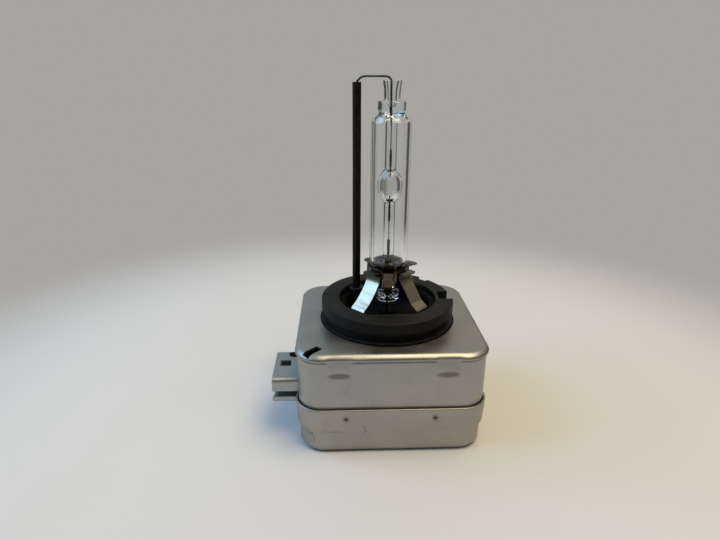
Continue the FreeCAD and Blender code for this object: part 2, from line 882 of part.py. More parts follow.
def make_upper_shell():
    """Deep-drawn upper half of the case: collar hole, corner slot, catch lugs and connector opening."""
    body = new_body("upper_shell")
    rounded_block(
        body, S.case_half_x, S.case_half_y, S.case_top, S.shell_bottom, S.case_corner
    )
    dress(body, "Fillet", at_height(-SIZES["case_top"]), S.case_edge)

    for side in (-1, 1):
        add_lugs(body, side)

    inside = new_sketch(body, "XY_Plane", -S.shell_bottom)
    rounded_outline(
        inside, S.case_half_x - S.sheet, S.case_half_y - S.sheet, S.case_corner - S.sheet
    )
    pocket(body, inside, S.shell_bottom - S.case_top - S.sheet, up=True)
    dress(body, "Fillet", at_height(-SIZES["case_top"] - SIZES["sheet"]), S.case_edge - S.sheet)

    hole = add_circle(new_sketch(body, "XY_Plane", -S.case_top + 1), S.case_hole_radius)
    pocket(body, hole, S.sheet + 2)

    slot = new_sketch(body, "XY_Plane", -S.case_top + 1)
    length = S.corner_slot_length
    add_path(slot, turned_rectangle(S.corner_slot_radius, length, S.corner_slot_width, SLOT_ANGLE))
    pocket(body, slot, S.corner_slot_depth)

    gap = S.cover_clearance
    opening = new_sketch(body, "YZ_Plane", -S.case_half_x - 1)
    add_path(
        opening,
        rectangle(
            -(S.shroud_front + gap),
            -S.shroud_rear + gap,
            -(S.shroud_bottom + gap),
            -S.shroud_top + gap,
        ),
    )
    pocket(body, opening, S.side_cut, up=True)


def add_lugs(body, side):
    """Two pressed catch lugs on one long wall; each is flush at its top and stands proud at its foot."""
    wall = S.case_half_y * side
    proud = (S.case_half_y + S.lug_height) * side
    root = (S.case_half_y - S.sheet * 0.5) * side
    for end in (-1, 1):
        lug = new_sketch(body, "YZ_Plane", S.lug_offset * end - S.lug_width * 0.5)
        profile = [
            (root, -S.lug_top),
            (wall, -S.lug_top),
            (proud, -S.lug_peak),
            (wall, -S.lug_bottom),
            (root, -S.lug_bottom),
        ]
        pad(body, add_path(lug, profile), S.lug_width)


def make_lower_cover():
    """Pressed lower half of the case: a skirt that laps the upper shell, stepped in to a flat tray."""
    body = new_body("lower_cover")
    lap = S.cover_clearance + S.sheet
    outer_x, outer_y = S.case_half_x + lap, S.case_half_y + lap
    corner = S.case_corner + lap
    step = S.cover_step_in
    skirt = new_sketch(body, "XY_Plane", -S.cover_rim)
    rounded_outline(skirt, outer_x, outer_y, corner)
    pad(body, skirt, S.cover_step - S.cover_rim, down=True)
    dress(body, "Fillet", at_height(-SIZES["cover_step"]), S.step_edge)
    tray = new_sketch(body, "XY_Plane", -S.cover_step + S.step_overlap)
    rounded_outline(tray, outer_x - step, outer_y - step, corner - step)
    pad(body, tray, S.cover_bottom - S.cover_step + S.step_overlap, down=True)
    dress(body, "Fillet", at_height(-SIZES["cover_bottom"]), S.cover_edge)

    upper = new_sketch(body, "XY_Plane", -S.cover_rim)
    rounded_outline(upper, outer_x - S.sheet, outer_y - S.sheet, corner - S.sheet)
    pocket(body, upper, S.cover_step - S.cover_rim - S.sheet)
    lower = new_sketch(body, "XY_Plane", -S.cover_step + 1)
    inset = step + S.sheet
    rounded_outline(lower, outer_x - inset, outer_y - inset, corner - inset)
    pocket(body, lower, S.cover_bottom - S.cover_step - S.sheet + 1)
    dress(body, "Fillet", at_height(-SIZES["cover_bottom"] + SIZES["sheet"]), S.cover_edge - S.sheet)

    gap = S.cover_clearance
    notch = new_sketch(body, "YZ_Plane", -outer_x - 1)
    add_path(
        notch,
        rectangle(
            -(S.shroud_front + gap),
            -S.shroud_rear + gap,
            -(S.shroud_bottom + gap),
            -S.cover_rim + 1,
        ),
    )
    pocket(body, notch, S.side_cut, up=True)

    for side in (-1, 1):
        for x in (-S.dent_left, S.dent_right):
            dent = new_sketch(body, "XZ_Plane", (outer_y + S.dent_depth) * side)
            add_circle(dent, S.dent_radius, x, -S.dent_height)
            pocket(body, dent, S.dent_depth * 2, up=side < 0)


def make_shroud():
    """Sheet metal shroud of the plug socket: a square tube with a latch window, a notch and a side slot."""
    body = new_body("connector_shroud")
    middle_y = -(S.shroud_front + S.shroud_rear) * 0.5
    middle_z = -(S.shroud_top + S.shroud_bottom) * 0.5
    half_y = (S.shroud_front - S.shroud_rear) * 0.5
    half_z = (S.shroud_bottom - S.shroud_top) * 0.5
    length = S.shroud_reach - S.shroud_root

    def section(sheet_in, offset):
        sketch = new_sketch(body, "YZ_Plane", offset)
        y, z, corner = half_y - sheet_in, half_z - sheet_in, S.shroud_corner - sheet_in
        nodes = [
            (middle_y - y + corner, middle_z - z),
            (middle_y + y - corner, middle_z - z, -corner),
            (middle_y + y, middle_z - z + corner),
            (middle_y + y, middle_z + z - corner, -corner),
            (middle_y + y - corner, middle_z + z),
            (middle_y - y + corner, middle_z + z, -corner),
            (middle_y - y, middle_z + z - corner),
            (middle_y - y, middle_z - z + corner, -corner),
        ]
        return add_path(sketch, nodes)

    pad(body, section(dim(0.0), -S.shroud_reach), length)
    pocket(body, section(S.shroud_sheet, -S.shroud_reach), length, up=True)

    window = new_sketch(body, "XY_Plane", -S.shroud_top + 1)
    add_path(window, rectangle(-S.window_far, -S.window_near, -S.window_front, -S.window_rear))
    pocket(body, window, S.shroud_sheet + 1)
    notch = new_sketch(body, "XY_Plane", -S.shroud_top + 1)
    outline = [
        (-S.notch_far, -S.notch_front),
        (-S.notch_near, -S.notch_front),
        (-S.notch_near, -S.notch_rear),
        (-S.notch_far, -S.notch_rear, S.notch_round),
    ]
    add_path(notch, outline)
    pocket(body, notch, S.shroud_sheet + 1)
    slot = new_sketch(body, "XZ_Plane", S.shroud_front + 1)
    add_path(slot, rectangle(-S.shroud_reach - 1, -S.slit_near, -S.slit_bottom, -S.slit_level))
    pocket(body, slot, S.shroud_sheet + 1)


def make_socket():
    """Plastic insulator at the back of the plug socket, bored for the three pins."""
    body = new_body("connector_body")
    inside = S.shroud_sheet
    front, rear = -(S.shroud_front - inside), -(S.shroud_rear + inside)
    low, high = -(S.shroud_bottom - inside), -(S.shroud_top + inside)
    block = new_sketch(body, "YZ_Plane", -S.socket_face)
    add_path(block, rectangle(front, rear, low, high))
    pad(body, block, S.socket_face - S.socket_back)
    depth = SIZES["socket_face"] - SIZES["socket_back"]
    along_x = [e for e in body.Tip.Shape.Edges if abs(e.BoundBox.XLength - depth) < TOUCH]
    middles = [e.BoundBox.Center for e in along_x]
    dress(
        body,
        "Fillet",
        lambda edge: any(edge.BoundBox.Center.distanceToPoint(c) < TOUCH for c in middles),
        S.shroud_corner - inside,
    )
    for index in range(len(PIN_NAMES)):
        y_low, y_high, z_low, z_high = pin_section(index)
        hole = new_sketch(body, "YZ_Plane", -S.socket_face)
        add_path(hole, rectangle(y_low, y_high, z_low, z_high))
        pocket(body, hole, S.socket_face - S.socket_back, up=True)


def pin_section(index):
    """Lowest and highest y and z of one pin."""
    middle_y = -(S.shroud_front + S.shroud_rear) * 0.5 + S.pin_pitch * (index - 1)
    middle_z = -(S.shroud_top + S.shroud_bottom) * 0.5
    half_y, half_z = S.pin_width * 0.5, S.pin_height * 0.5
    return middle_y - half_y, middle_y + half_y, middle_z - half_z, middle_z + half_z


def make_pin(index, name):
    """Flat contact pin with a chamfered tip."""
    body = new_body(name)
    y_low, y_high, z_low, z_high = pin_section(index)
    sketch = new_sketch(body, "YZ_Plane", -S.pin_reach)
    add_path(sketch, rectangle(y_low, y_high, z_low, z_high))
    pad(body, sketch, S.pin_reach - S.socket_back + S.pin_tail)
    tip = -SIZES["pin_reach"]
    dress(body, "Chamfer", lambda edge: abs(edge.BoundBox.XMax - tip) < TOUCH, S.pin_chamfer)


# ---------------------------------------------------------------- igniter


def make_carrier():
    """Moulded igniter carrier: an upside-down tub that fills the case and holds the components."""
    body = new_body("igniter_carrier")
    half_x = S.carrier_half_x
    half_y = S.carrier_half_y
    wall = S.carrier_wall
    corner = S.carrier_corner
    rounded_block(body, half_x, half_y, S.carrier_top, S.carrier_bottom, corner)
    inside = new_sketch(body, "XY_Plane", -S.carrier_bottom)
    rounded_outline(inside, half_x - wall, half_y - wall, corner - wall)
    pocket(body, inside, S.carrier_bottom - S.carrier_top - wall, up=True)

    divider = new_sketch(body, "XY_Plane", -S.carrier_top)
    divider_x = S.divider_x
    far_x = divider_x + S.divider_sheet
    add_path(divider, rectangle(divider_x, far_x, -(half_y - wall), half_y - wall))
    pad(body, divider, S.divider_bottom - S.carrier_top, down=True)

    hatch = new_sketch(body, "XZ_Plane", half_y - wall)
    bar_low = -S.bar_level - S.busbar_sheet
    bar_high = -S.bar_level + S.busbar_sheet * 2
    margin = S.hatch_margin
    add_path(hatch, rectangle(divider_x - margin, far_x + margin, bar_low, bar_high))
    pocket(body, hatch, S.side_cut)
    add_cradles(body)

    centre_hole = add_circle(new_sketch(body, "XY_Plane", -S.carrier_top + 1), S.centre_hole)
    pocket(body, centre_hole, wall + 2)
    wire_hole = new_sketch(body, "XY_Plane", -S.carrier_top + 1)
    add_circle(wire_hole, S.wire_hole, -S.rod_offset_x, S.rod_offset_y)
    pocket(body, wire_hole, wall + 2)
    window = new_sketch(body, "YZ_Plane", -half_x - 1)
    add_path(
        window,
        rectangle(-S.shroud_front, -S.shroud_rear, -S.shroud_bottom, -S.shroud_top),
    )
    pocket(body, window, S.side_cut, up=True)


def add_cradles(body):
    """Ribs under the carrier's roof that the transformer, capacitor and spark gap are seated against."""
    roof = -S.rib_root
    core_end = S.core_length * 0.5
    for low in (-core_end, core_end - S.rib_sheet):
        rib = new_sketch(body, "XY_Plane", roof)
        near = S.coil_x - S.core_rib_half
        far = S.coil_x + S.core_rib_half
        add_path(rib, rectangle(near, far, low, low + S.rib_sheet))
        pad(body, rib, S.coil_z + roof, down=True)
    seat = new_sketch(body, "XZ_Plane")
    add_circle(seat, S.core_radius, S.coil_x, -S.coil_z)
    pocket(body, seat, S.core_length, both_ways=True)
    for x, y_low, y_high, foot in (
        (S.capacitor_rib_x, S.capacitor_rib_front, S.capacitor_rib_rear, S.capacitor_top),
        (S.gap_rib_x, S.gap_rib_front, S.gap_rib_rear, S.gap_z - S.gap_radius),
    ):
        rib = new_sketch(body, "XY_Plane", roof)
        add_path(rib, rectangle(x, x + S.rib_sheet, y_low, y_high))
        pad(body, rib, foot + roof, down=True)


def coil_part(label, outline):
    """Turns an outline in (radius, distance along the coil) about the transformer's axis."""
    body = new_body(label)
    revolve(body, add_path(new_sketch(body, "XZ_Plane"), outline))
    body.Placement = Placement(
        Vector(SIZES["coil_x"], 0, -SIZES["coil_z"]), ALONG_Y
    )
    return body


def make_transformer():
    """Pulse transformer: ferrite rod, sectioned bobbin, high-voltage winding and a flat primary strip."""
    half = S.core_length * 0.5
    cylinder("ferrite_core", S.core_radius, S.core_length, S.coil_x, -half, -S.coil_z, ALONG_Y)

    length = S.bobbin_length
    wall = S.section_wall
    pitch = (length - wall) / SECTIONS
    outline = [(S.core_radius, length * -0.5)]
    for i in range(SECTIONS + 1):
        start = length * -0.5 + pitch * i
        outline += [(S.bobbin_flange, start), (S.bobbin_flange, start + wall)]
        if i < SECTIONS:
            outline += [(S.bobbin_tube, start + wall), (S.bobbin_tube, start + pitch)]
    outline.append((S.core_radius, length * 0.5))
    coil_part("transformer_bobbin", outline)

    rings = []
    for i in range(SECTIONS):
        start = length * -0.5 + pitch * i + wall
        tube = cylinder(
            f"wound_{i}", S.winding_radius, pitch - wall,
            S.coil_x, start, -S.coil_z, ALONG_Y, keep=False,
        )
        hole = cylinder(
            f"wound_bore_{i}", S.bobbin_tube, pitch - wall,
            S.coil_x, start, -S.coil_z, ALONG_Y, keep=False,
        )
        rings.append(part_object("Cut", f"wound_ring_{i}", False, Base=tube, Tool=hole))
    part_object("Compound", "secondary_winding", Links=rings)
    make_primary()


def make_primary():
    """Primary: four open turns of copper strip round the bobbin, joined by a bar along one side."""
    body = new_body("primary_winding")
    outer = S.strip_radius
    inner = outer - S.strip_sheet
    pitch = S.strip_width + S.strip_gap
    for i in range(PRIMARY_TURNS):
        start = pitch * (i - (PRIMARY_TURNS - 1) * 0.5) - S.strip_width * 0.5
        sketch = new_sketch(body, "XZ_Plane")
        add_path(sketch, rectangle(inner, outer, start, start + S.strip_width))
        revolve(body, sketch, angle=TURN_ANGLE)
    bar = new_sketch(body, "XY_Plane", pitch * (PRIMARY_TURNS - 1) * -0.5)
    add_path(bar, rectangle(inner, outer, 0, S.strip_gap))
    pad(body, bar, pitch * (PRIMARY_TURNS - 1))
    body.Placement = Placement(Vector(SIZES["coil_x"], 0, -SIZES["coil_z"]), ALONG_Y)


def make_spark_gap():
    """Switching spark gap: a ceramic tube between two metal end caps, with its axis along X."""
    x, y, z = S.gap_x, S.gap_y, -S.gap_z
    outer = cylinder("gap_outer", S.gap_radius, S.gap_length, x, y, z, ALONG_X, keep=False)
    bore = cylinder("gap_bore", S.gap_bore, S.gap_length, x, y, z, ALONG_X, keep=False)
    part_object("Cut", "spark_gap_tube", Base=outer, Tool=bore)
    cap = S.cap_sheet
    for name, start, nub in (
        ("spark_gap_cap_left", x - cap, x),
        ("spark_gap_cap_right", x + S.gap_length, x + S.gap_length - S.pole_length),
    ):
        disc = cylinder(name + "_disc", S.gap_radius + S.cap_lip, cap, start, y, z, ALONG_X, keep=False)
        pole = cylinder(name + "_pole", S.pole_radius, S.pole_length, nub, y, z, ALONG_X, keep=False)
        part_object("Fuse", name, Base=disc, Tool=pole)


def make_capacitor():
    """Pulse capacitor: a moulded film block with rounded edges and two flat leads."""
    bottom, height = -S.capacitor_bottom, S.capacitor_bottom - S.capacitor_top
    width = S.capacitor_right - S.capacitor_left
    depth = S.capacitor_rear - S.capacitor_front
    corner = (S.capacitor_left, S.capacitor_front, bottom)
    block = box("capacitor_block", *corner, width, depth, height, keep=False)
    doc.recompute()
    rounded = part_object("Fillet", "pulse_capacitor", Base=block)
    edge = SIZES["capacitor_edge"]
    rounded.Edges = [(i, edge, edge) for i in range(1, len(block.Shape.Edges) + 1)]
    foot = S.supply_level - S.capacitor_bottom
    for end, y in (("front", S.lead_front), ("rear", S.lead_rear)):
        box("capacitor_lead_" + end, S.lead_x, y, -S.supply_level, S.lead_width, S.lead_sheet, foot)


def make_resistor():
    """Bleed resistor with domed ends, standing between two busbars on its wire leads."""
    x = S.resistor_x
    y = S.resistor_y
    length = S.resistor_length
    high = S.bar_level
    low = S.supply_level
    top = -(high + low - length) * 0.5
    barrel = cylinder("resistor_barrel", S.resistor_radius, length, x, y, top - length, keep=False)
    doc.recompute()
    rounded = part_object("Fillet", "bleed_resistor", Base=barrel)
    rims = [i for i, e in enumerate(barrel.Shape.Edges, 1) if e.BoundBox.ZLength < TOUCH]
    edge = SIZES["resistor_edge"]
    rounded.Edges = [(i, edge, edge) for i in rims]
    cylinder("resistor_lead_upper", S.resistor_lead, -high - top, x, y, top)
    cylinder("resistor_lead_lower", S.resistor_lead, top - length + low, x, y, -low)


def strip_path(label, height, nodes):
    """A flat busbar cut from sheet: its outline lies at a height and it is one sheet thick."""
    body = new_body(label)
    sketch = add_path(new_sketch(body, "XY_Plane", height), nodes)
    pad(body, sketch, S.busbar_sheet)
    return body


def make_busbars():
    """The stamped busbars and the two crimp sleeves that end the lamp's leads."""
    half = S.busbar_width * 0.5
    width = S.busbar_width
    level = -S.bar_level
    rod_x = -S.rod_offset_x
    rod_y = S.rod_offset_y
    front = S.coil_bar_y - S.coil_bar_depth
    strip_path(
        "high_voltage_busbar",
        level,
        [
            (-half, front),
            (S.coil_bar_x, front),
            (S.coil_bar_x, S.coil_bar_y),
            (half, S.coil_bar_y),
            (half, half),
            (-half, half),
        ],
    )
    left = S.left_bar_x - width
    strip_path(
        "return_busbar",
        level,
        [
            (left, S.resistor_y - half),
            (S.left_bar_x, S.resistor_y - half),
            (S.left_bar_x, rod_y - half),
            (rod_x + half, rod_y - half),
            (rod_x + half, rod_y + half),
            (left, rod_y + half),
        ],
    )
    low = -S.supply_level - S.busbar_sheet
    supply_front = S.lead_front - half
    strip_path(
        "supply_busbar",
        low,
        [
            (left, supply_front),
            (S.supply_bar_end, supply_front),
            (S.supply_bar_end, supply_front + width),
            (S.left_bar_x, supply_front + width),
            (S.left_bar_x, S.resistor_y + half),
            (left, S.resistor_y + half),
        ],
    )
    gap_left = S.gap_bar_x - width
    gap_front = S.lead_rear - half
    strip_path(
        "gap_busbar",
        low,
        [
            (gap_left, gap_front),
            (S.gap_bar_end, gap_front),
            (S.gap_bar_end, gap_front + width),
            (S.gap_bar_x, gap_front + width),
            (S.gap_bar_x, S.gap_bar_rear),
            (gap_left, S.gap_bar_rear),
        ],
    )
    for label, x, y in (
        ("burner_contact", dim(0.0), dim(0.0)),
        ("return_contact", rod_x, rod_y),
    ):
        body = new_body(label)
        sketch = new_sketch(body, "XY_Plane", -S.contact_foot)
        add_circle(sketch, S.lead_radius + S.contact_wall, x, y)
        add_circle(sketch, S.lead_radius, x, y)
        pad(body, sketch, S.contact_length)


# ---------------------------------------------------------------- assembly


def cut_metal_from_quartz(metal_names, upper_lead):
    """Leaves room in the quartz for the metal that is sealed into it."""
    quartz = PARTS.pop("arc_tube")
    quartz.Label = "arc_tube_blank"
    for name in metal_names:
        label = "quartz_round_" + name
        quartz = part_object("Cut", label, False, Base=quartz, Tool=PARTS[name])
    socket = cylinder(
        "return_lead_socket", S.lead_radius, S.tube_bore_end + 1 - upper_lead, 0, 0, upper_lead,
        keep=False,
    )
    part_object("Cut", "arc_tube", Base=quartz, Tool=socket)


def make_supply_wire(lead_start):
    """Straight supply lead from the lower seal down to the igniter."""
    bottom = -S.lead_end
    cylinder("supply_wire", S.lead_radius, lead_start - bottom, 0, 0, bottom)


def build():
    """Makes every sub-part."""
    make_arc_tube()
    make_outer_sleeve()
    upper_lead = make_seal_metal("upper", 1)
    lower_lead = make_seal_metal("lower", -1)
    make_return_wire(upper_lead)
    make_supply_wire(lower_lead)
    make_insulator()
    make_salt_pool()
    make_clamp_band()
    for name, angle in LEG_ANGLES.items():
        make_leg("holder_leg_" + name, angle)
    make_collar()
    make_upper_shell()
    make_lower_cover()
    make_shroud()
    make_socket()
    for index, name in enumerate(PIN_NAMES):
        make_pin(index, name)
    make_carrier()
    make_transformer()
    make_spark_gap()
    make_capacitor()
    make_resistor()
    make_busbars()
    doc.recompute()
    cut_metal_from_quartz(
        ["electrode_upper", "electrode_lower", "foil_upper", "foil_lower", "supply_wire"],
        upper_lead,
    )
    doc.recompute()


def check_and_write(folder):
    """Stops on any failed object or bad shape, then writes one STEP file for each sub-part."""
    failed = [o.Label for o in doc.Objects if {"Invalid", "Error"} & set(o.State)]
    if failed:
        raise RuntimeError(f"failed objects: {failed}")
    os.makedirs(folder, exist_ok=True)
    for name, item in PARTS.items():
        shape = item.Shape
        if shape.isNull() or not shape.isValid() or not shape.Solids:
            raise RuntimeError(f"{name} has no valid solid")
        shape.exportStep(os.path.join(folder, name + ".step"))
    print(f"{len(PARTS)} sub-parts written")


build()
check_and_write("parts")
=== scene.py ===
"""Looks of a gas discharge headlight bulb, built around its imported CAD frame.

Lengths inside the shape functions are millimetres in the CAD frame: +Z along the lamp axis,
z = 0 at the top of the locating collar, -X towards the plug. make_piece turns them into metres.
"""

import json
import math

import bmesh
import bpy
from mathutils import Matrix, Vector, noise


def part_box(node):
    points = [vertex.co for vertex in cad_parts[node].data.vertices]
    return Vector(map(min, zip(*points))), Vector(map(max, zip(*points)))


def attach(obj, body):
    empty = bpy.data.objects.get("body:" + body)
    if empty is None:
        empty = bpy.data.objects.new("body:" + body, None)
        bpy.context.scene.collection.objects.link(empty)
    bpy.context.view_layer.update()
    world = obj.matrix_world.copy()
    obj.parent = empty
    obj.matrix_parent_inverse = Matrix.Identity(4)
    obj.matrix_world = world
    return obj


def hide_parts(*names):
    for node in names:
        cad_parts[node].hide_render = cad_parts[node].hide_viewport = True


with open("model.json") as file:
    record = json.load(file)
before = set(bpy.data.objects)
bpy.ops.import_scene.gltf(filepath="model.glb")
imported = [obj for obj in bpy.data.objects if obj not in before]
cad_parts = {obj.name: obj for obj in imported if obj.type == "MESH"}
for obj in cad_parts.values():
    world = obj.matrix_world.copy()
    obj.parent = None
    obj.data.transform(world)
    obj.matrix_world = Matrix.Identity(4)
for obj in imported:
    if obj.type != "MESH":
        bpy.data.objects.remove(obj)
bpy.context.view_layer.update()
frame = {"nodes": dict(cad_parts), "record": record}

MM = 0.001
TURN = 2 * math.pi
TINY = 1e-6
WELD = 1e-4
ARC = 27.1
CHAMBER_RADIUS = 1.85
SEAL_FLOOR = 8.8


def box_mm(node):
    """Lowest and highest corner of a CAD node, in millimetres."""
    low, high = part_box(node)
    return low / MM, high / MM


# ---- mesh helpers


def make_piece(name, bm, slot, *replaced, crease=32, painted_shade=None, material=None):
    """Turns a bmesh in millimetres into a smooth piece in metres that rides on the root.

    The shade function says how much shade is painted on each point, 0 to 1, from its place and
    its normal. The piece has the material of its slot unless it gets one of its own.
    """
    bm.transform(Matrix.Scale(MM, 4))
    mesh = bpy.data.meshes.new(name)
    bm.to_mesh(mesh)
    bm.free()
    mesh.shade_smooth()
    mesh.set_sharp_from_angle(angle=math.radians(crease))
    piece = bpy.data.objects.new(name, mesh)
    bpy.context.collection.objects.link(piece)
    # painted shade: the shade painted on each point is kept as a point attribute that the
    # materials darken with
    if painted_shade:
        layer = mesh.attributes.new("baked_shade", "FLOAT", "POINT")
        layer.data.foreach_set("value", [painted_shade(v.co / MM, v.normal) for v in mesh.vertices])
    paint(piece, material or MATERIALS[slot])
    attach(piece, "root")
    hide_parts(*replaced)


def paint(piece, material):
    """Gives an object one material in place of what it had."""
    piece.data.materials.clear()
    piece.data.materials.append(material)


def rounded_path(nodes, closed=False, step=12.0):
    """Points along a path of (x, y, corner radius) nodes, with each corner turned into an arc."""
    points = []
    count = len(nodes)
    for i, node in enumerate(nodes):
        here = Vector(node[:2])
        radius = node[2] if len(node) > 2 else 0.0
        at_end = not closed and i in (0, count - 1)
        if radius <= 0 or at_end:
            points.append(here)
            continue
        back = (Vector(nodes[i - 1][:2]) - here).normalized()
        ahead = (Vector(nodes[(i + 1) % count][:2]) - here).normalized()
        turn = math.pi - back.angle(ahead)
        if turn < math.radians(2):
            points.append(here)
            continue
        reach = radius * math.tan(turn / 2)
        centre = here + (back + ahead).normalized() * (radius / math.cos(turn / 2))
        start = here + back * reach - centre
        sweep = turn if start.cross(here + ahead * reach - centre) > 0 else -turn
        parts = max(2, math.ceil(math.degrees(turn) / step))
        for k in range(parts + 1):
            spun = start.copy()
            spun.rotate(Matrix.Rotation(sweep * k / parts, 2))
            points.append(centre + spun)
    return points


def skin(bm, rings, closed=False, cap=False, inward=False):
    """Joins rings of points with faces and returns their vertices.

    The rings have equally many points, or one at a pole. closed joins the last ring to the
    first, cap closes both ends, and inward makes the faces look into a hollow.
    """
    made = [[bm.verts.new(p) for p in ring] for ring in rings]
    pairs = list(zip(made, made[1:]))
    if closed:
        pairs.append((made[-1], made[0]))
    faces = []
    for low, high in pairs:
        count = max(len(low), len(high))
        for i in range(count):
            j = (i + 1) % count
            order = ((low, i), (low, j), (high, j), (high, i))
            corners = [ring[k % len(ring)] for ring, k in order]
            faces.append(bm.faces.new(list(dict.fromkeys(corners))))
    if cap:
        faces.append(bm.faces.new(list(reversed(made[0]))))
        faces.append(bm.faces.new(made[-1]))
    bmesh.ops.recalc_face_normals(bm, faces=faces)
    if inward:
        bmesh.ops.reverse_faces(bm, faces=faces)
    return [v for ring in made for v in ring]


def lathe(bm, profile, segments=96, closed=False, inward=False):
    """Turns (radius, height) points about the Z axis; one on the axis becomes a pole."""
    angles = [TURN * i / segments for i in range(segments)]
    rings = [
        [(radius * math.cos(a), radius * math.sin(a), height) for a in angles]
        if radius > TINY else [(0, 0, height)]
        for radius, height in profile
    ]
    return skin(bm, rings, closed=closed, inward=inward)


def turn_about_axis(bm, verts, degrees):
    """Turns some vertices about the lamp axis."""
    bmesh.ops.rotate(
        bm, verts=verts, cent=(0, 0, 0), matrix=Matrix.Rotation(math.radians(degrees), 3, "Z")
    )


def add_box(bm, low, high, degrees=0):
    """Adds a closed box between two corners, then turns it about the lamp axis."""
    made = bmesh.ops.create_cube(bm, size=1.0)
    size = Vector(high) - Vector(low)
    place = Matrix.Translation((Vector(high) + Vector(low)) / 2)
    bmesh.ops.transform(bm, matrix=place @ Matrix.Diagonal((*size, 1)), verts=made["verts"])
    if degrees:
        turn_about_axis(bm, made["verts"], degrees)


def circle(radius, angles):
    """Flat points on a circle about the lamp axis."""
    return [Vector((radius * math.cos(a), radius * math.sin(a))) for a in angles]


def pushed(ring, z, reach):
    """A ring of points at one height, each moved outwards by reach(point, outward direction)."""
    return [Vector((*(q + out * reach(q, out)), z)) for q, out in ring]


def cut_away(bm, cutter, overlapping=False):
    """Returns bm with the closed solids of cutter taken out of it. Both are used up."""
    objects = []
    for part in (bm, cutter):
        mesh = bpy.data.meshes.new("cutting")
        part.to_mesh(mesh)
        part.free()
        item = bpy.data.objects.new("cutting", mesh)
        bpy.context.collection.objects.link(item)
        objects.append(item)
    target, tool = objects
    modifier = target.modifiers.new("cut", "BOOLEAN")
    modifier.operation = "DIFFERENCE"
    modifier.solver = "EXACT"
    modifier.use_self = overlapping
    modifier.object = tool
    graph = bpy.context.evaluated_depsgraph_get()
    result = bmesh.new()
    result.from_mesh(target.evaluated_get(graph).to_mesh())
    for item in objects:
        mesh = item.data
        bpy.data.objects.remove(item)
        bpy.data.meshes.remove(mesh)
    bmesh.ops.remove_doubles(result, verts=result.verts, dist=WELD)
    return result


def directions(path):
    """The direction of a path at each of its points."""
    padded = [path[0], *path, path[-1]]
    return [(after - before).normalized() for before, after in zip(padded, padded[2:])]


def strip(bm, path, width, thickness, degrees=0.0, edge=0.06):
    """Sweeps a flat strip along (radius, height) points and turns it about the lamp axis."""
    half_w, half_t = width / 2, thickness / 2
    section = [
        (-half_w + edge, -half_t), (half_w - edge, -half_t), (half_w, -half_t + edge),
        (half_w, half_t - edge), (half_w - edge, half_t), (-half_w + edge, half_t),
        (-half_w, half_t - edge), (-half_w, -half_t + edge),
    ]
    rings = []
    for point, along in zip(path, directions(path)):
        normal = Vector((-along.y, along.x))
        flats = [(across, point + normal * out) for across, out in section]
        rings.append([Vector((flat.x, across, flat.y)) for across, flat in flats])
    turn_about_axis(bm, skin(bm, rings, cap=True), degrees)


def smooth_line(nodes, parts=8):
    """A Catmull-Rom line through the nodes."""
    nodes = [Vector(n) for n in nodes]
    padded = [nodes[0] * 2 - nodes[1], *nodes, nodes[-1] * 2 - nodes[-2]]
    line = []
    for a, b, c, d in zip(padded, padded[1:], padded[2:], padded[3:]):
        for k in range(parts):
            t = k / parts
            line.append(
                ((b * 2) + (c - a) * t + (a * 2 - b * 5 + c * 4 - d) * t * t
                 + (b * 3 - a - c * 3 + d) * t ** 3) * 0.5
            )
    return line + [nodes[-1]]


def outline(half_x, half_y, corner, spacing):
    """Points round a rounded rectangle with their outward directions."""
    made = []
    arc_parts = max(6, math.ceil(corner * TURN / 4 / spacing))
    for quarter in range(4):
        sx, sy = ((1, 1), (-1, 1), (-1, -1), (1, -1))[quarter]
        centre = Vector((sx * (half_x - corner), sy * (half_y - corner)))
        for k in range(arc_parts + 1):
            angle = TURN / 4 * (quarter + k / arc_parts)
            out = Vector((math.cos(angle), math.sin(angle)))
            made.append((centre + out * corner, out))
        side = 2 * ((half_x if quarter % 2 == 0 else half_y) - corner)
        out = made[-1][1]
        along = Vector((-out.y, out.x))
        parts = math.ceil(side / spacing)
        start = made[-1][0]
        for k in range(1, parts):
            made.append((start + along * (side * k / parts), out))
    return made


def ramp_between(value, low, high):
    """0 below low, 1 above high, smooth between them."""
    t = min(max((value - low) / (high - low), 0.0), 1.0)
    return t * t * (3 - 2 * t)


def levels(*spans):
    """Heights from pairs of (end, spacing), starting at the first number."""
    made = [spans[0]]
    for end, spacing in spans[1:]:
        start = made[-1]
        parts = max(1, round(abs(end - start) / spacing))
        made += [start + (end - start) * k / parts for k in range(1, parts + 1)]
    return made


# ---- material helpers


CRACK_SCALE = 900
CRACK_WANDER = 0.7


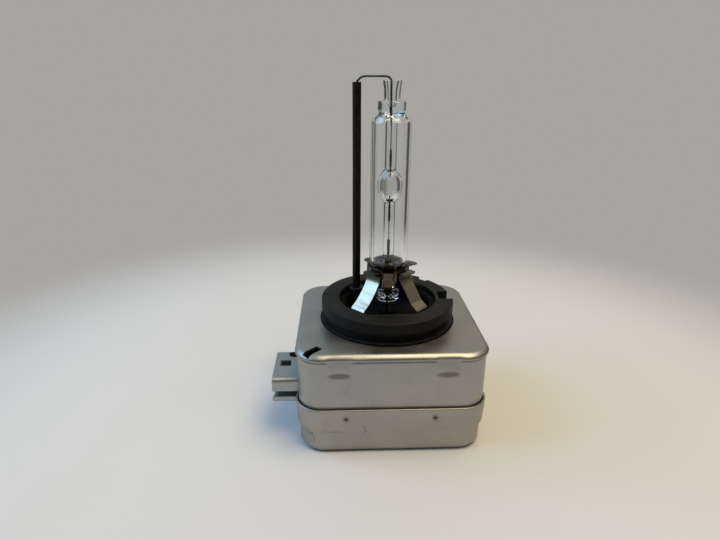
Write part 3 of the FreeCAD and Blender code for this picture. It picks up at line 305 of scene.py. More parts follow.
class Nodes:
    """Short ways to build a node tree."""

    def __init__(self, tree):
        self.tree = tree

    def node(self, kind, feeds=(), **settings):
        """Adds a shader node by its short type name, sets it up and feeds its inputs."""
        made = self.tree.nodes.new("ShaderNode" + kind)
        for name, value in settings.items():
            setattr(made, name, value)
        for name, value in dict(feeds).items():
            self.feed(made.inputs[name], value)
        return made

    def feed(self, target, value):
        """Sets an input to a number, a vector or a colour, or joins it to an output."""
        if isinstance(value, bpy.types.NodeSocket):
            self.tree.links.new(value, target)
        elif target.type == "RGBA":
            target.default_value = (*value, 1)
        else:
            target.default_value = value

    def span(self, value, low, high, to_low=0.0, to_high=1.0):
        """Maps low..high to to_low..to_high, smoothly and clamped."""
        feeds = {
            "Value": value, "From Min": low, "From Max": high, "To Min": to_low, "To Max": to_high
        }
        return self.node("MapRange", feeds, interpolation_type="SMOOTHSTEP").outputs["Result"]

    def math(self, operation, a, b=0.0):
        """A math node on two values."""
        return self.node("Math", {0: a, 1: b}, operation=operation).outputs[0]

    def both(self, a, b):
        """The product of two shares."""
        return self.math("MULTIPLY", a, b)

    def mix(self, amount, low, high):
        """Blends two colours."""
        feeds = {"Factor": amount, "A": low, "B": high}
        return self.node("Mix", feeds, data_type="RGBA").outputs["Result"]

    def vector(self, operation, *values, output="Vector"):
        """A vector math node on outputs and constant vectors."""
        return self.node("VectorMath", enumerate(values), operation=operation).outputs[output]


class Paint(Nodes):
    """Builds one procedural material round a Principled shader. Texture sizes are millimetres."""

    def __init__(self, name, color, roughness, metallic=0.0, **sockets):
        self.material = bpy.data.materials.new(name)
        self.material.use_nodes = True
        super().__init__(self.material.node_tree)
        self.shader = self.tree.nodes["Principled BSDF"]
        sockets.update(Base_Color=color, Roughness=roughness, Metallic=metallic)
        for socket, value in sockets.items():
            self.feed(self.shader.inputs[socket.replace("_", " ")], value)
        self.where = self.node("TexCoord").outputs["Object"]
        self.normal = None

    def noise(self, size, detail=3.0, roughness=0.5, stretch=None):
        """Noise from 0 to 1 whose features are about size millimetres across."""
        where = self.where
        if stretch:
            where = self.node("Mapping", {"Vector": where, "Scale": stretch}).outputs["Vector"]
        feeds = {"Scale": 1 / (size * MM), "Detail": detail, "Roughness": roughness}
        return self.node("TexNoise", {**feeds, "Vector": where}).outputs["Fac"]

    def baked_shade(self):
        """The painted shade stored on the mesh's points."""
        return self.node("Attribute", attribute_name="baked_shade").outputs["Fac"]

    def axis(self, name):
        """One coordinate, in metres."""
        return self.node("SeparateXYZ", {0: self.where}).outputs[name]

    def zone(self, name, low, high, to_low=0.0, to_high=1.0):
        """A ramp along one axis between two places in millimetres."""
        return self.span(self.axis(name), low * MM, high * MM, to_low, to_high)

    def between(self, low, low_end, high, high_end):
        """1 between two heights in millimetres, with a ramp at each end."""
        return self.both(self.zone("Z", low, low_end), self.zone("Z", high, high_end, 1.0, 0.0))

    def flat(self, across, up):
        """The place with only two of its axes, as the X and Y of a vector."""
        return self.node("CombineXYZ", {0: self.axis(across), 1: self.axis(up)}).outputs[0]

    def line(self, start, end, width):
        """1 on a wandering hairline between two (x, z) points of the front wall."""
        along = (Vector(end) - Vector(start)) * MM
        place = self.flat("X", "Z")
        wander = self.node("TexNoise", {"Scale": CRACK_SCALE, "Vector": place}).outputs["Color"]
        reach = (CRACK_WANDER * MM, CRACK_WANDER * MM, 0)
        moved = self.vector("MULTIPLY_ADD", wander, reach, place)
        origin = ((start[0] + CRACK_WANDER / 2) * MM, (start[1] + CRACK_WANDER / 2) * MM, 0)
        away = self.vector("SUBTRACT", moved, origin)
        across = (*(along / along.length_squared), 0)
        share = self.vector("DOT_PRODUCT", away, across, output="Value")
        share = self.node("Clamp", {"Value": share}).outputs[0]
        foot = self.node("VectorMath", {0: (*along, 0), "Scale": share}, operation="SCALE")
        gap = self.vector("DISTANCE", away, foot.outputs[0], output="Value")
        return self.span(gap, width * MM * 0.4, width * MM, 1.0, 0.0)

    def color(self, value):
        """Joins a colour to the shader."""
        self.feed(self.shader.inputs["Base Color"], value)

    def gloss(self, value):
        """Joins a roughness to the shader."""
        self.feed(self.shader.inputs["Roughness"], value)

    def bump(self, height, depth, strength=1.0):
        """Adds a bump layer whose full height is depth millimetres."""
        feeds = {"Strength": strength, "Distance": depth * MM, "Height": height}
        if self.normal:
            feeds["Normal"] = self.normal
        self.normal = self.node("Bump", feeds).outputs["Normal"]
        self.feed(self.shader.inputs["Normal"], self.normal)


# ---- materials


CLEAR = (0.985, 0.995, 1.0)
QUARTZ_IOR = 1.459


def shaded(color, factor):
    """A colour made darker or lighter."""
    return tuple(c * factor for c in color)


def mottled(p, cloud, color, dark, light, high=0.7):
    """A colour that drifts between a darker and a lighter shade with a cloud."""
    return p.mix(p.span(cloud, 0.3, high), shaded(color, dark), shaded(color, light))


def case_metal(name, grey=(0.395, 0.389, 0.374), rubbed=False):
    """Satin pressed sheet: fine grain, soft smudges, hairline scratches and painted shade."""
    p = Paint(name, grey, 0.34, metallic=1.0)
    cloud = p.noise(9.0, 4.0, 0.55)
    smudge = p.span(p.noise(3.2, 5.0, 0.62), 0.52, 0.76)
    tone = mottled(p, cloud, grey, 0.94, 1.08)
    tone = p.mix(p.both(smudge, 0.16), tone, shaded(grey, 0.60))
    hair = p.noise(0.5, 2.0, 0.5, stretch=(1.0, 1.0, 0.045))
    hair_cross = p.noise(0.42, 2.0, 0.5, stretch=(0.03, 0.03, 1.0))
    scratches = p.math("MAXIMUM", p.span(hair, 0.66, 0.70), p.span(hair_cross, 0.68, 0.72))
    tone = p.mix(p.both(scratches, 0.25), tone, shaded(grey, 1.08))
    if rubbed:
        marks = rub_marks(p)
        tone = p.mix(p.both(marks, 0.75), tone, shaded(grey, 0.25))
        p.bump(marks, -0.03, 0.6)
    # painted shade: the stored shade, broken up by the cloud, darkens the colour to a dark
    # greenish brown and roughens it
    painted_shade = p.both(p.baked_shade(), p.span(cloud, 0.2, 0.8, 0.85, 1.0))
    p.color(p.mix(painted_shade, tone, (0.060, 0.057, 0.038)))
    rough = p.math("ADD", p.span(cloud, 0.25, 0.75, 0.38, 0.47), p.both(smudge, 0.06))
    p.gloss(p.math("ADD", rough, p.both(painted_shade, 0.35)))
    p.bump(p.noise(0.16, 2.0, 0.6), 0.010, 0.5)
    p.bump(p.noise(1.4, 3.0, 0.5), 0.02, 0.3)
    p.bump(scratches, 0.006, 0.5)
    return p.material


def rub_marks(p):
    """Cracked scratches and a rubbed patch at the front's low left, and a nick near its middle."""
    front = p.zone("Y", -19.5, -18.5, 1.0, 0.0)
    marks = p.line((-21.0, -24.5), (-17.9, -24.9), 0.13)
    for start, end, width in (
        ((-19.0, -24.7), (-17.8, -25.6), 0.10), ((-17.9, -25.4), (-17.6, -27.2), 0.12),
        ((-18.6, -24.8), (-19.2, -26.2), 0.08), ((-6.6, -22.3), (-5.9, -24.4), 0.09),
        ((-5.9, -22.6), (-6.3, -24.9), 0.07), ((-15.5, -24.1), (-11.0, -24.4), 0.07),
    ):
        marks = p.math("MAXIMUM", marks, p.line(start, end, width))
    left = p.zone("X", -18.5, -9.5, 1.0, 0.0)
    band = p.between(-26.2, -24.3, -24.3, -23.2)
    broken = p.span(p.noise(0.9, 5.0, 0.7, stretch=(0.5, 1.0, 1.6)), 0.50, 0.62)
    patch = p.both(p.both(left, band), p.both(broken, 0.4))
    return p.both(p.math("MAXIMUM", marks, patch), front)


def black_plastic(name, shade=0.0065, rough=0.56):
    """Matt moulded plastic with a fine spark-eroded grain, handling marks and a little dust."""
    base = (shade, shade * 0.97, shade * 0.90)
    p = Paint(name, base, rough, Specular_IOR_Level=0.22)
    cloud = p.noise(5.0, 4.0, 0.6)
    dust = p.span(p.noise(0.35, 4.0, 0.75), 0.66, 0.74)
    normal = p.node("SeparateXYZ", {0: p.node("NewGeometry").outputs["Normal"]})
    settled = p.both(dust, p.span(normal.outputs["Z"], 0.5, 1.0))
    tone = mottled(p, cloud, base, 0.75, 1.5)
    dusted = p.mix(p.both(settled, 0.3), tone, (0.12, 0.115, 0.105))
    # painted shade: the stored shade makes the colour near black and the finish rougher deep in
    # the recess
    deep = p.baked_shade()
    p.color(p.mix(deep, dusted, (0.0006, 0.0006, 0.0006)))
    p.gloss(p.math("MAXIMUM", p.span(cloud, 0.25, 0.75, rough - 0.08, rough + 0.10), deep))
    p.bump(p.noise(0.11, 2.0, 0.6), 0.012, 0.6)
    p.bump(p.noise(1.6, 3.0, 0.55), 0.02, 0.25)
    return p.material


def spring_steel(name, color=(0.46, 0.42, 0.32), rough=0.16):
    """Bright rolled strip with fine rolling lines, heat tint, smears and painted shade."""
    p = Paint(name, color, rough, metallic=1.0)
    lines = p.noise(0.22, 3.0, 0.6, stretch=(1.0, 1.0, 0.08))
    smears = p.noise(1.5, 4.0, 0.6, stretch=(0.22, 0.22, 1.0))
    tan = tuple(c * f for c, f in zip(color, (0.82, 0.76, 0.64)))
    tone = p.mix(p.span(smears, 0.45, 0.80), color, tan)
    # painted shade and painted dark reflection: the stored shade darkens the strip to near black
    p.color(p.mix(p.baked_shade(), tone, (0.018, 0.016, 0.013)))
    p.gloss(p.span(p.math("ADD", lines, smears), 0.7, 1.35, rough * 0.6, rough * 1.8))
    p.bump(lines, 0.004, 0.6)
    p.bump(p.noise(1.1, 2.0, 0.5), 0.02, 0.35)
    return p.material


def drawn_wire(name, color, rough):
    """Drawn wire, slightly oxidised, with lines along its length."""
    p = Paint(name, color, rough, metallic=1.0)
    oxide = p.noise(0.7, 4.0, 0.65)
    p.color(p.mix(p.span(oxide, 0.4, 0.7), color, shaded(color, 0.35)))
    p.gloss(p.span(oxide, 0.3, 0.7, rough * 0.8, min(rough * 1.5, 0.9)))
    p.bump(p.noise(0.08, 2.0, 0.6, stretch=(1.0, 1.0, 0.1)), 0.004, 0.5)
    return p.material


def ceramic(name, color, rough):
    """Fired ceramic tube: mottled, slightly glossy on its skin, with pores."""
    p = Paint(name, color, rough, Specular_IOR_Level=0.22)
    mottle = p.noise(1.2, 5.0, 0.65, stretch=(1.0, 1.0, 0.35))
    pores = p.span(p.noise(0.12, 2.0, 0.5), 0.62, 0.72)
    tone = mottled(p, mottle, color, 0.6, 1.7, high=0.75)
    p.color(p.mix(p.both(pores, 0.5), tone, shaded(color, 0.35)))
    p.gloss(p.span(mottle, 0.3, 0.7, rough - 0.12, rough + 0.12))
    p.bump(p.noise(0.3, 4.0, 0.6), 0.02, 0.5)
    p.bump(pores, 0.02, 0.4)
    return p.material


def burner_glass(name):
    """Clear quartz, faintly blue and rippled where the flame has fused it at the two ends."""
    p = Paint(name, CLEAR, 0.0, Transmission_Weight=1.0, IOR=QUARTZ_IOR)
    top = p.between(42.0, 43.0, 45.4, 45.7)
    bottom = p.zone("Z", 2.0, 4.2, 1.0, 0.0)
    fused = p.math("MAXIMUM", top, p.both(bottom, 0.4))
    tint = p.mix(fused, CLEAR, (0.88, 0.955, 0.985))
    # painted shade: the glass between the lower seal and the gap's floor is tinted near-black
    # teal, for the dark clamp and collar seen through it
    foot = p.between(3.4, 4.6, SEAL_FLOOR, SEAL_FLOOR + 0.8)
    radius = p.vector("LENGTH", p.flat("X", "Y"), output="Value")
    rim = CHAMBER_RADIUS * MM
    off_middle = p.math("ABSOLUTE", p.math("SUBTRACT", p.axis("Z"), ARC * MM))
    in_chamber = p.both(
        p.span(radius, rim, rim * 1.05, 1.0, 0.0), p.span(off_middle, 0.0022, 0.0029, 1.0, 0.0)
    )
    # painted shade: the chamber's left half is tinted a darker greenish grey
    left_painted_shade = p.both(in_chamber, p.zone("X", -0.3, -1.2))
    tint = p.mix(left_painted_shade, tint, (0.50, 0.52, 0.42))
    p.color(p.mix(foot, tint, (0.012, 0.022, 0.020)))
    ripple = p.noise(1.3, 3.0, 0.5, stretch=(1.0, 1.0, 1.8))
    p.bump(p.both(ripple, fused), 0.12, 0.45)
    p.bump(p.noise(3.5, 2.0, 0.4, stretch=(1.0, 1.0, 0.25)), 0.03, 0.12)
    p.gloss(p.span(p.noise(0.6, 4.0, 0.7), 0.62, 0.8, 0.0, 0.045))
    return p.material


def plain_grain(name, color, rough, metallic=0.0, size=0.4, depth=0.02):
    """A moulded, wound or stamped surface with uneven tone and a fine grain."""
    p = Paint(name, color, rough, metallic=metallic)
    cloud = p.noise(size * 8, 4.0, 0.6)
    p.color(mottled(p, cloud, color, 0.7, 1.25))
    p.gloss(p.span(cloud, 0.25, 0.75, rough * 0.8, min(rough * 1.25, 1.0)))
    p.bump(p.noise(size, 3.0, 0.6), depth, 0.6)
    return p.material


def winding(name, color, pitch):
    """Wound wire: fine turns round an axis along Y."""
    p = Paint(name, color, 0.32, metallic=0.6)
    feeds = {"Scale": 1 / (pitch * MM * 20), "Distortion": 0.6, "Vector": p.where}
    turns = p.node("TexWave", feeds, bands_direction="Y").outputs["Fac"]
    p.color(p.mix(turns, shaded(color, 0.45), color))
    p.gloss(p.span(p.noise(1.0, 3.0, 0.6), 0.3, 0.7, 0.25, 0.42))
    p.bump(turns, 0.08, 0.8)
    return p.material


MATERIALS = {
    "quartz_glass": burner_glass("quartz_glass"),
    "sleeve_glass": burner_glass("sleeve_glass"),
    "tungsten": drawn_wire("tungsten", (0.10, 0.098, 0.10), 0.42),
    "molybdenum": drawn_wire("molybdenum", (0.13, 0.12, 0.12), 0.40),
    "lead_wire": drawn_wire("lead_wire", (0.085, 0.080, 0.072), 0.42),
    "halide_salt": plain_grain("halide_salt", (0.70, 0.66, 0.48), 0.5, size=0.1),
    "insulator_ceramic": ceramic("insulator_ceramic", (0.0110, 0.0078, 0.0056), 0.52),
    "holder_steel": spring_steel("holder_steel"),
    "collar_plastic": black_plastic("collar_plastic"),
    "case_metal": case_metal("case_metal"),
    # painted cool light: the shroud's grey is darker and bluer than the case's, for the window's
    # light on it
    "shroud_metal": case_metal("shroud_metal", (0.40, 0.42, 0.43)),
    "socket_plastic": black_plastic("socket_plastic", 0.010, 0.42),
    "contact_metal": plain_grain("contact_metal", (0.74, 0.68, 0.52), 0.28, 1.0, 0.2, 0.004),
    "carrier_plastic": black_plastic("carrier_plastic", 0.030, 0.48),
    "ferrite": plain_grain("ferrite", (0.10, 0.10, 0.11), 0.55),
    "bobbin_plastic": plain_grain("bobbin_plastic", (0.72, 0.69, 0.60), 0.45),
    "enamelled_copper": winding("enamelled_copper", (0.42, 0.16, 0.06), 0.12),
    "copper_strip": plain_grain("copper_strip", (0.72, 0.36, 0.20), 0.30, 1.0, 0.3, 0.005),
    "gap_ceramic": plain_grain("gap_ceramic", (0.80, 0.79, 0.75), 0.35, size=0.3),
    "gap_metal": plain_grain("gap_metal", (0.60, 0.60, 0.60), 0.30, 1.0, 0.3, 0.005),
    "film_capacitor": plain_grain("film_capacitor", (0.36, 0.06, 0.035), 0.28, size=0.6),
    "resistor_body": plain_grain("resistor_body", (0.22, 0.32, 0.44), 0.30, size=0.5),
    "busbar_metal": plain_grain("busbar_metal", (0.72, 0.64, 0.46), 0.30, 1.0, 0.3, 0.005),
}
COVER_METAL = case_metal("cover_metal", (0.385, 0.372, 0.345), rubbed=True)
TINTED_STEEL = spring_steel("heat_tinted_steel", (0.150, 0.125, 0.092), 0.20)


# ---- burner


GLASS_LOW, GLASS_HIGH = box_mm("arc_tube")[0].z, box_mm("arc_tube")[1].z
SLEEVE_RADIUS = box_mm("outer_sleeve")[1].x
SLEEVE_BASE, SLEEVE_TIP = box_mm("outer_sleeve")[0].z, box_mm("outer_sleeve")[1].z
BULB_RADIUS = 2.85
BULB_HALF = 4.2
CHAMBER_HALF = 3.1
WALL = 0.88
TUBE = 1.8
STEM = 1.3
BEAD = 3.06
ROD_X, ROD_Y = -7.35, 7.0
ROD_RADIUS = 1.0
ROD_TOP = 49.2
WIRE_RADIUS = 0.235


def bulge(neck, belly, half, parts=36):
    """Points of a swelling about the arc, from its lower to its upper neck, with soft necks."""
    made = []
    for k in range(parts + 1):
        t = -1 + 2 * k / parts
        round_part = math.sqrt(max(0.0, 1 - t * t))
        soft = ramp_between(1 - abs(t), 0.0, 0.16)
        radius = neck + max(belly * round_part - neck, 0.0) * soft
        made.append((radius, ARC + half * t))
    return made


def make_burner_glass():
    """One fused piece of glass: outer skin, gap between the two tubes, discharge chamber."""
    bm = bmesh.new()
    low, high = SLEEVE_BASE, SLEEVE_TIP
    skin_nodes = [
        (0, 3.6), (0.6, 3.3, 0.3), (0.75, 2.2, 0.5), (0.72, GLASS_LOW + 0.1, 0.1),
        (0.95, GLASS_LOW, 0.1), (TUBE - 0.1, GLASS_LOW, 0.3), (TUBE - 0.1, low - 0.25, 0.25),
        (BEAD - 0.55, low - 0.2, 0.3), (BEAD - 0.15, low + 0.25, 0.2),
        (BEAD - 0.1, low + 1.75, 0.4), (2.55, low + 2.2, 0.25), (2.75, low + 3.0, 0.4),
        (SLEEVE_RADIUS - 0.55, low + 3.9, 0.6), (SLEEVE_RADIUS, low + 5.0, 1.0),
        (SLEEVE_RADIUS, high - 4.3, 0.8), (SLEEVE_RADIUS - 0.5, high - 3.35, 0.6),
        (3.0, high - 2.85, 0.35), (2.70, high - 2.2, 0.18), (BEAD - 0.1, high - 2.02, 0.2),
        (BEAD, high - 1.85, 0.2), (BEAD, high - 0.2, 0.2),
        (BEAD - 0.2, high, 0.15), (TUBE + 0.1, high + 0.02, 0.2), (TUBE, high + 0.4, 0.3),
        (TUBE - 0.02, GLASS_HIGH - 2.4, 2.0), (TUBE + 0.23, GLASS_HIGH - 0.2, 0.1),
        (TUBE + 0.17, GLASS_HIGH, 0.05), (1.12, GLASS_HIGH, 0.05), (0.80, GLASS_HIGH - 2.2, 1.5),
        (0.76, 45.0, 0.5), (0.55, 44.3, 0.3), (0, 44.1),
    ]
    lathe(bm, rounded_path(skin_nodes), 128)
    inside = SLEEVE_RADIUS - WALL
    roof = high - 3.45
    gap_nodes = [
        (inside - 0.5, SEAL_FLOOR - 0.1, 0.3), (inside, SEAL_FLOOR + 0.5, 0.4),
        (inside, roof - 1.0, 0.6), (inside - 0.7, roof - 0.15, 0.35),
        (STEM + 0.35, roof + 0.3, 0.25), (STEM, roof - 0.3, 0.3),
        *reversed(bulge(STEM, BULB_RADIUS, BULB_HALF)),
        (STEM, SEAL_FLOOR + 1.5, 0.5), (STEM + 0.6, SEAL_FLOOR + 0.25, 0.5),
    ]
    lathe(bm, rounded_path(gap_nodes, closed=True), 128, closed=True, inward=True)
    for v in bm.verts:
        flat = math.hypot(v.co.x, v.co.y)
        if STEM < flat < inside - 0.05 and SEAL_FLOOR - 0.5 < v.co.z < SEAL_FLOOR + 1.2:
            v.co.z += 0.12 * noise.noise(v.co * 1.1)
    chamber = [(0, ARC - CHAMBER_HALF)]
    chamber += [
        (CHAMBER_RADIUS * math.cos(a), ARC + CHAMBER_HALF * math.sin(a))
        for a in (math.pi * (k / 32 - 0.5) for k in range(1, 32))
    ]
    chamber.append((0, ARC + CHAMBER_HALF))
    lathe(bm, chamber, 64, inward=True)
    make_piece("burner_glass", bm, "sleeve_glass", "arc_tube", "outer_sleeve", crease=60)


def tube_along(bm, path, radius, sides=16):
    """A closed round wire along points in space; radius is a function of the share of the way."""
    rings = []
    side_way = Vector((1, 0.3, 0)).normalized()
    for i, (point, along) in enumerate(zip(path, directions(path))):
        side_way = (side_way - along * side_way.dot(along)).normalized()
        other = along.cross(side_way)
        size = radius(i / (len(path) - 1))
        angles = (TURN * k / sides for k in range(sides))
        rings.append([
            point + side_way * (size * math.cos(a)) + other * (size * math.sin(a)) for a in angles
        ])
    skin(bm, rings, cap=True)


def make_return_wire():
    """The return lead: out of the burner's top, over in a hand-bent loop, down in its tube."""
    low, high = box_mm("return_wire")
    top = high.z - WIRE_RADIUS - 0.01
    toward = Vector((ROD_X, ROD_Y, 0))

    def over(share, z):
        """A point above the straight line from the lamp axis to the tube."""
        return Vector((toward.x * share, toward.y * share, z))

    nodes = [
        Vector((0.0, 0, 39.6)), Vector((-0.05, 0, 41.5)), Vector((-0.16, 0, 44.0)),
        Vector((-0.20, 0, 46.5)), Vector((-0.24, 0, 48.4)), over(0.03, top - 1.15),
        over(0.06, top - 0.42), over(0.15, top - 0.05), over(0.30, top),
        over(0.55, top - 0.01), over(0.74, top - 0.02), over(0.86, top - 0.22),
        over(0.95, top - 0.78), over(1.0, top - 1.6), over(1.0, 44.0), over(1.0, 20.0),
        over(1.0, 0.0), over(1.0, low.z),
    ]

    def thickness(share):
        """The lead's radius, thinner where it starts inside the glass."""
        return WIRE_RADIUS * ramp_between(share, -0.06, 0.16)

    bm = bmesh.new()
    tube_along(bm, smooth_line(nodes, 7), thickness)
    make_piece("return_lead_bent", bm, "lead_wire", "return_wire")


def make_electrode(node):
    """A tungsten electrode: ground shank, slightly melted and swollen tip."""
    low, high = box_mm(node)
    up = (low.z + high.z) / 2 < ARC
    tip, tail = (high.z, low.z) if up else (low.z, high.z)
    way = 1 if up else -1
    length = abs(tip - tail)
    profile = [
        (0, tail), (0.10, tail), (0.16, tail + way * 0.5), (0.19, tail + way * 1.3),
        (0.17, tail + way * (length - 2.4)), (0.13, tail + way * (length - 2.0)),
        (0.13, tail + way * (length - 0.5)), (0.16, tail + way * (length - 0.3)),
        (0.13, tail + way * (length - 0.06)), (0, tip),
    ]
    bm = bmesh.new()
    lathe(bm, profile, 24)
    make_piece(node + "_ground", bm, "tungsten", node)


def make_foil(node):
    """A thin sealing foil with feathered edges and the small ripples it takes in the pinch."""
    low, high = box_mm(node)
    half = (high.y - low.y) / 2
    rings = []
    section = (
        (0, -half), (0.02, -half * 0.6), (0.035, 0), (0.02, half * 0.6), (0, half),
        (-0.02, half * 0.6), (-0.035, 0), (-0.02, -half * 0.6),
    )
    for k in range(41):
        z = low.z + (high.z - low.z) * k / 40
        shift = 0.014 * math.sin(z * 2.1) + 0.008 * math.sin(z * 5.3 + 1)
        rings.append([Vector((x + shift, y, z)) for x, y in section])
    bm = bmesh.new()
    skin(bm, rings, cap=True)
    make_piece(node + "_rippled", bm, "molybdenum", node)


def make_insulator():
    """Ceramic tube round the return lead: not quite straight, with a rough-cut end."""
    bottom = box_mm("return_insulator")[0].z
    nodes = [
        (0.35, bottom), (ROD_RADIUS, bottom, 0.1), (ROD_RADIUS, ROD_TOP, 0.16),
        (0.42, ROD_TOP, 0.1), (0.35, ROD_TOP - 2.0),
    ]
    side = rounded_path(nodes)
    dense = []
    for a, b in zip(side, side[1:]):
        parts = max(1, round((b - a).length / 1.5))
        dense += [a.lerp(b, k / parts) for k in range(parts)]
    dense.append(side[-1])
    bm = bmesh.new()
    lathe(bm, dense, 40, closed=True)
    for v in bm.verts:
        grow = 1 + noise.noise(Vector((v.co.x, v.co.y, v.co.z * 0.35)) * 0.6) * 0.02
        lean = 0.05 * math.sin((v.co.z - bottom) / (ROD_TOP - bottom) * math.pi)
        v.co = Vector((v.co.x * grow + ROD_X + lean, v.co.y * grow + ROD_Y, v.co.z))
        if abs(v.co.z - ROD_TOP) < 0.2:
            v.co.z -= 0.05 + 0.05 * noise.noise(v.co * 1.3)
    make_piece("return_insulator_tube", bm, "insulator_ceramic", "return_insulator")


# ---- holder


LEG_WIDTH = 4.0
SHEET = 0.28
BAND_LOW, BAND_HIGH = box_mm("clamp_band")[0].z, box_mm("clamp_band")[1].z
BAND_RADIUS = 4.67
CLAMP_TURN = -4
SLIT_OFFSET = 1.22
SLIT_HALF = 0.17
FINGER = 0.2


def off_band(*points):
    """A smooth line through points given as (distance outside the band, height)."""
    return smooth_line([(BAND_RADIUS + away, z) for away, z in points], 5)


def make_clamp():
    """Slit band round the sleeve with sprung fingers, bent tabs and their weld spots."""
    bm = bmesh.new()
    inner, outer = BAND_RADIUS - SHEET / 2, BAND_RADIUS + SHEET / 2
    edge = 0.08
    lathe(bm, rounded_path([
        (inner, BAND_LOW, edge), (outer, BAND_LOW, edge), (outer + 0.04, BAND_HIGH - 0.5, 0.3),
        (outer + 0.02, BAND_HIGH - 0.05, edge), (inner + 0.02, BAND_HIGH - 0.05, edge),
    ], closed=True), 144, closed=True)
    slits = bmesh.new()
    for quarter in range(4):
        for offset in (-SLIT_OFFSET, SLIT_OFFSET):
            low = (3.8, offset - SLIT_HALF, BAND_LOW - 1)
            high = (5.6, offset + SLIT_HALF, BAND_HIGH - 0.8)
            add_box(slits, low, high, 90 * quarter + CLAMP_TURN)
    bm = cut_away(bm, slits)
    finger = off_band(
        (0.12, BAND_LOW + 0.1), (0.30, BAND_LOW + 1.6), (0.24, BAND_HIGH - 1.3),
        (0.2, BAND_HIGH - 0.1),
    )
    for quarter in range(3):
        strip(bm, finger, 2.1, FINGER, 90 * quarter + CLAMP_TURN, edge=0.05)
    front = off_band((0.30, 2.6), (0.42, 4.2), (0.36, 6.2), (0.34, 7.6), (0.50, 8.2))
    strip(bm, front, 1.95, FINGER, 270 + CLAMP_TURN, edge=0.05)
    head = off_band(
        (0.44, 7.9), (0.72, 8.5), (1.02, 9.2), (1.10, 9.65), (0.92, 9.85), (0.66, 9.80)
    )
    strip(bm, head, 2.65, 0.26, 270 + CLAMP_TURN, edge=0.09)
    for angle, reach, tip, width in (
        (225, 6.75, 7.65, 3.6), (315, 6.8, 7.6, 3.6), (45, 9.8, 6.1, 2.8), (135, 6.6, 7.9, 2.4)
    ):
        root = min(7.6, tip + 0.4)
        line = smooth_line([
            (BAND_RADIUS + 0.1, root - 1.1), (BAND_RADIUS + 0.25, root - 0.35),
            (BAND_RADIUS + 0.7, root), ((BAND_RADIUS + reach) / 2 + 0.4, (root + tip) / 2),
            (reach, tip),
        ], 5)
        strip(bm, line, width, 0.5 if angle == 45 else SHEET, angle, edge=0.08)
        add_tab_end(bm, reach, tip, width, angle)
        for across in (-0.7, 0.7):
            add_weld(bm, reach - 0.55, across, tip + 0.13, angle)

    def clamp_painted_shade(p, normal):
        """Painted dark reflection on the front finger's head, painted shadow on the front-left
        tab, and darker towards the band's upper rim.
        """
        head = ramp_between(p.z, 7.7, 8.2) * ramp_between(-p.y, 4.1, 4.4) * (abs(p.x) < 2.4)
        rim = 0.55 * ramp_between(p.z, BAND_HIGH - 1.2, BAND_HIGH - 0.4)
        tab = 0.6 * (p.x < -3 and p.y < -3)
        return max(head, tab, rim * (math.hypot(p.x, p.y) < 5.2))

    make_piece(
        "clamp_band_formed", bm, "holder_steel", "clamp_band", painted_shade=clamp_painted_shade, material=TINTED_STEEL
    )


def add_tab_end(bm, reach, height, width, degrees):
    """The rounded end of a tab."""
    end = [
        Vector((reach - 0.05 + 0.55 * math.cos(a), width / 2 * math.sin(a)))
        for a in (math.pi * (k / 12 - 0.5) for k in range(13))
    ]
    made = add_prism(bm, end, height - SHEET / 2, height + SHEET / 2, soften=0.06)
    turn_about_axis(bm, made, degrees)


def add_weld(bm, radius, across, height, degrees):
    """A small flat weld spot on a tab."""
    made = lathe(bm, [(0, 0.05), (0.22, 0.04), (0.34, 0.0), (0.30, -0.08), (0, -0.08)], 20)
    bmesh.ops.translate(bm, verts=made, vec=(radius, across, height))
    turn_about_axis(bm, made, degrees)


def make_leg(node, degrees, curve):
    """One leg: a ledge under the band's tab, a sweep outwards, a crease and a flat foot."""
    bm = bmesh.new()
    line = smooth_line([
        (6.6, 7.2), (5.7, 7.2), (5.15, 6.9), (5.1 + curve * 0.1, 6.1), (5.45 + curve * 0.4, 5.1),
        (6.35 + curve * 0.55, 3.7), (7.5 + curve * 0.4, 2.25), (8.72, 0.98),
    ], 7)
    foot = smooth_line([(8.72, 0.98), (9.7, 0.28), (10.45, -0.3), (10.72, -1.2), (10.75, -3.4)], 6)
    strip(bm, line + foot[1:], LEG_WIDTH, SHEET, degrees, edge=0.07)

    def ledge_painted_shade(p, normal):
        """Painted shade that grows towards the ledge, where the band's tab shades the leg."""
        return 0.85 * ramp_between(p.z, 4.6, 6.4)

    make_piece(node + "_formed", bm, "holder_steel", node, painted_shade=ledge_painted_shade)


# ---- collar


RECESS_TOP = 11.7
RECESS = 10.3
RECESS_FLOOR = -4.6
GROOVE = 14.8
GROOVE_HIGH, GROOVE_LOW = -2.7, -4.7
LEAD_HOLE = 1.86
KEY_LOW = -2.8
BOSS = 2.0


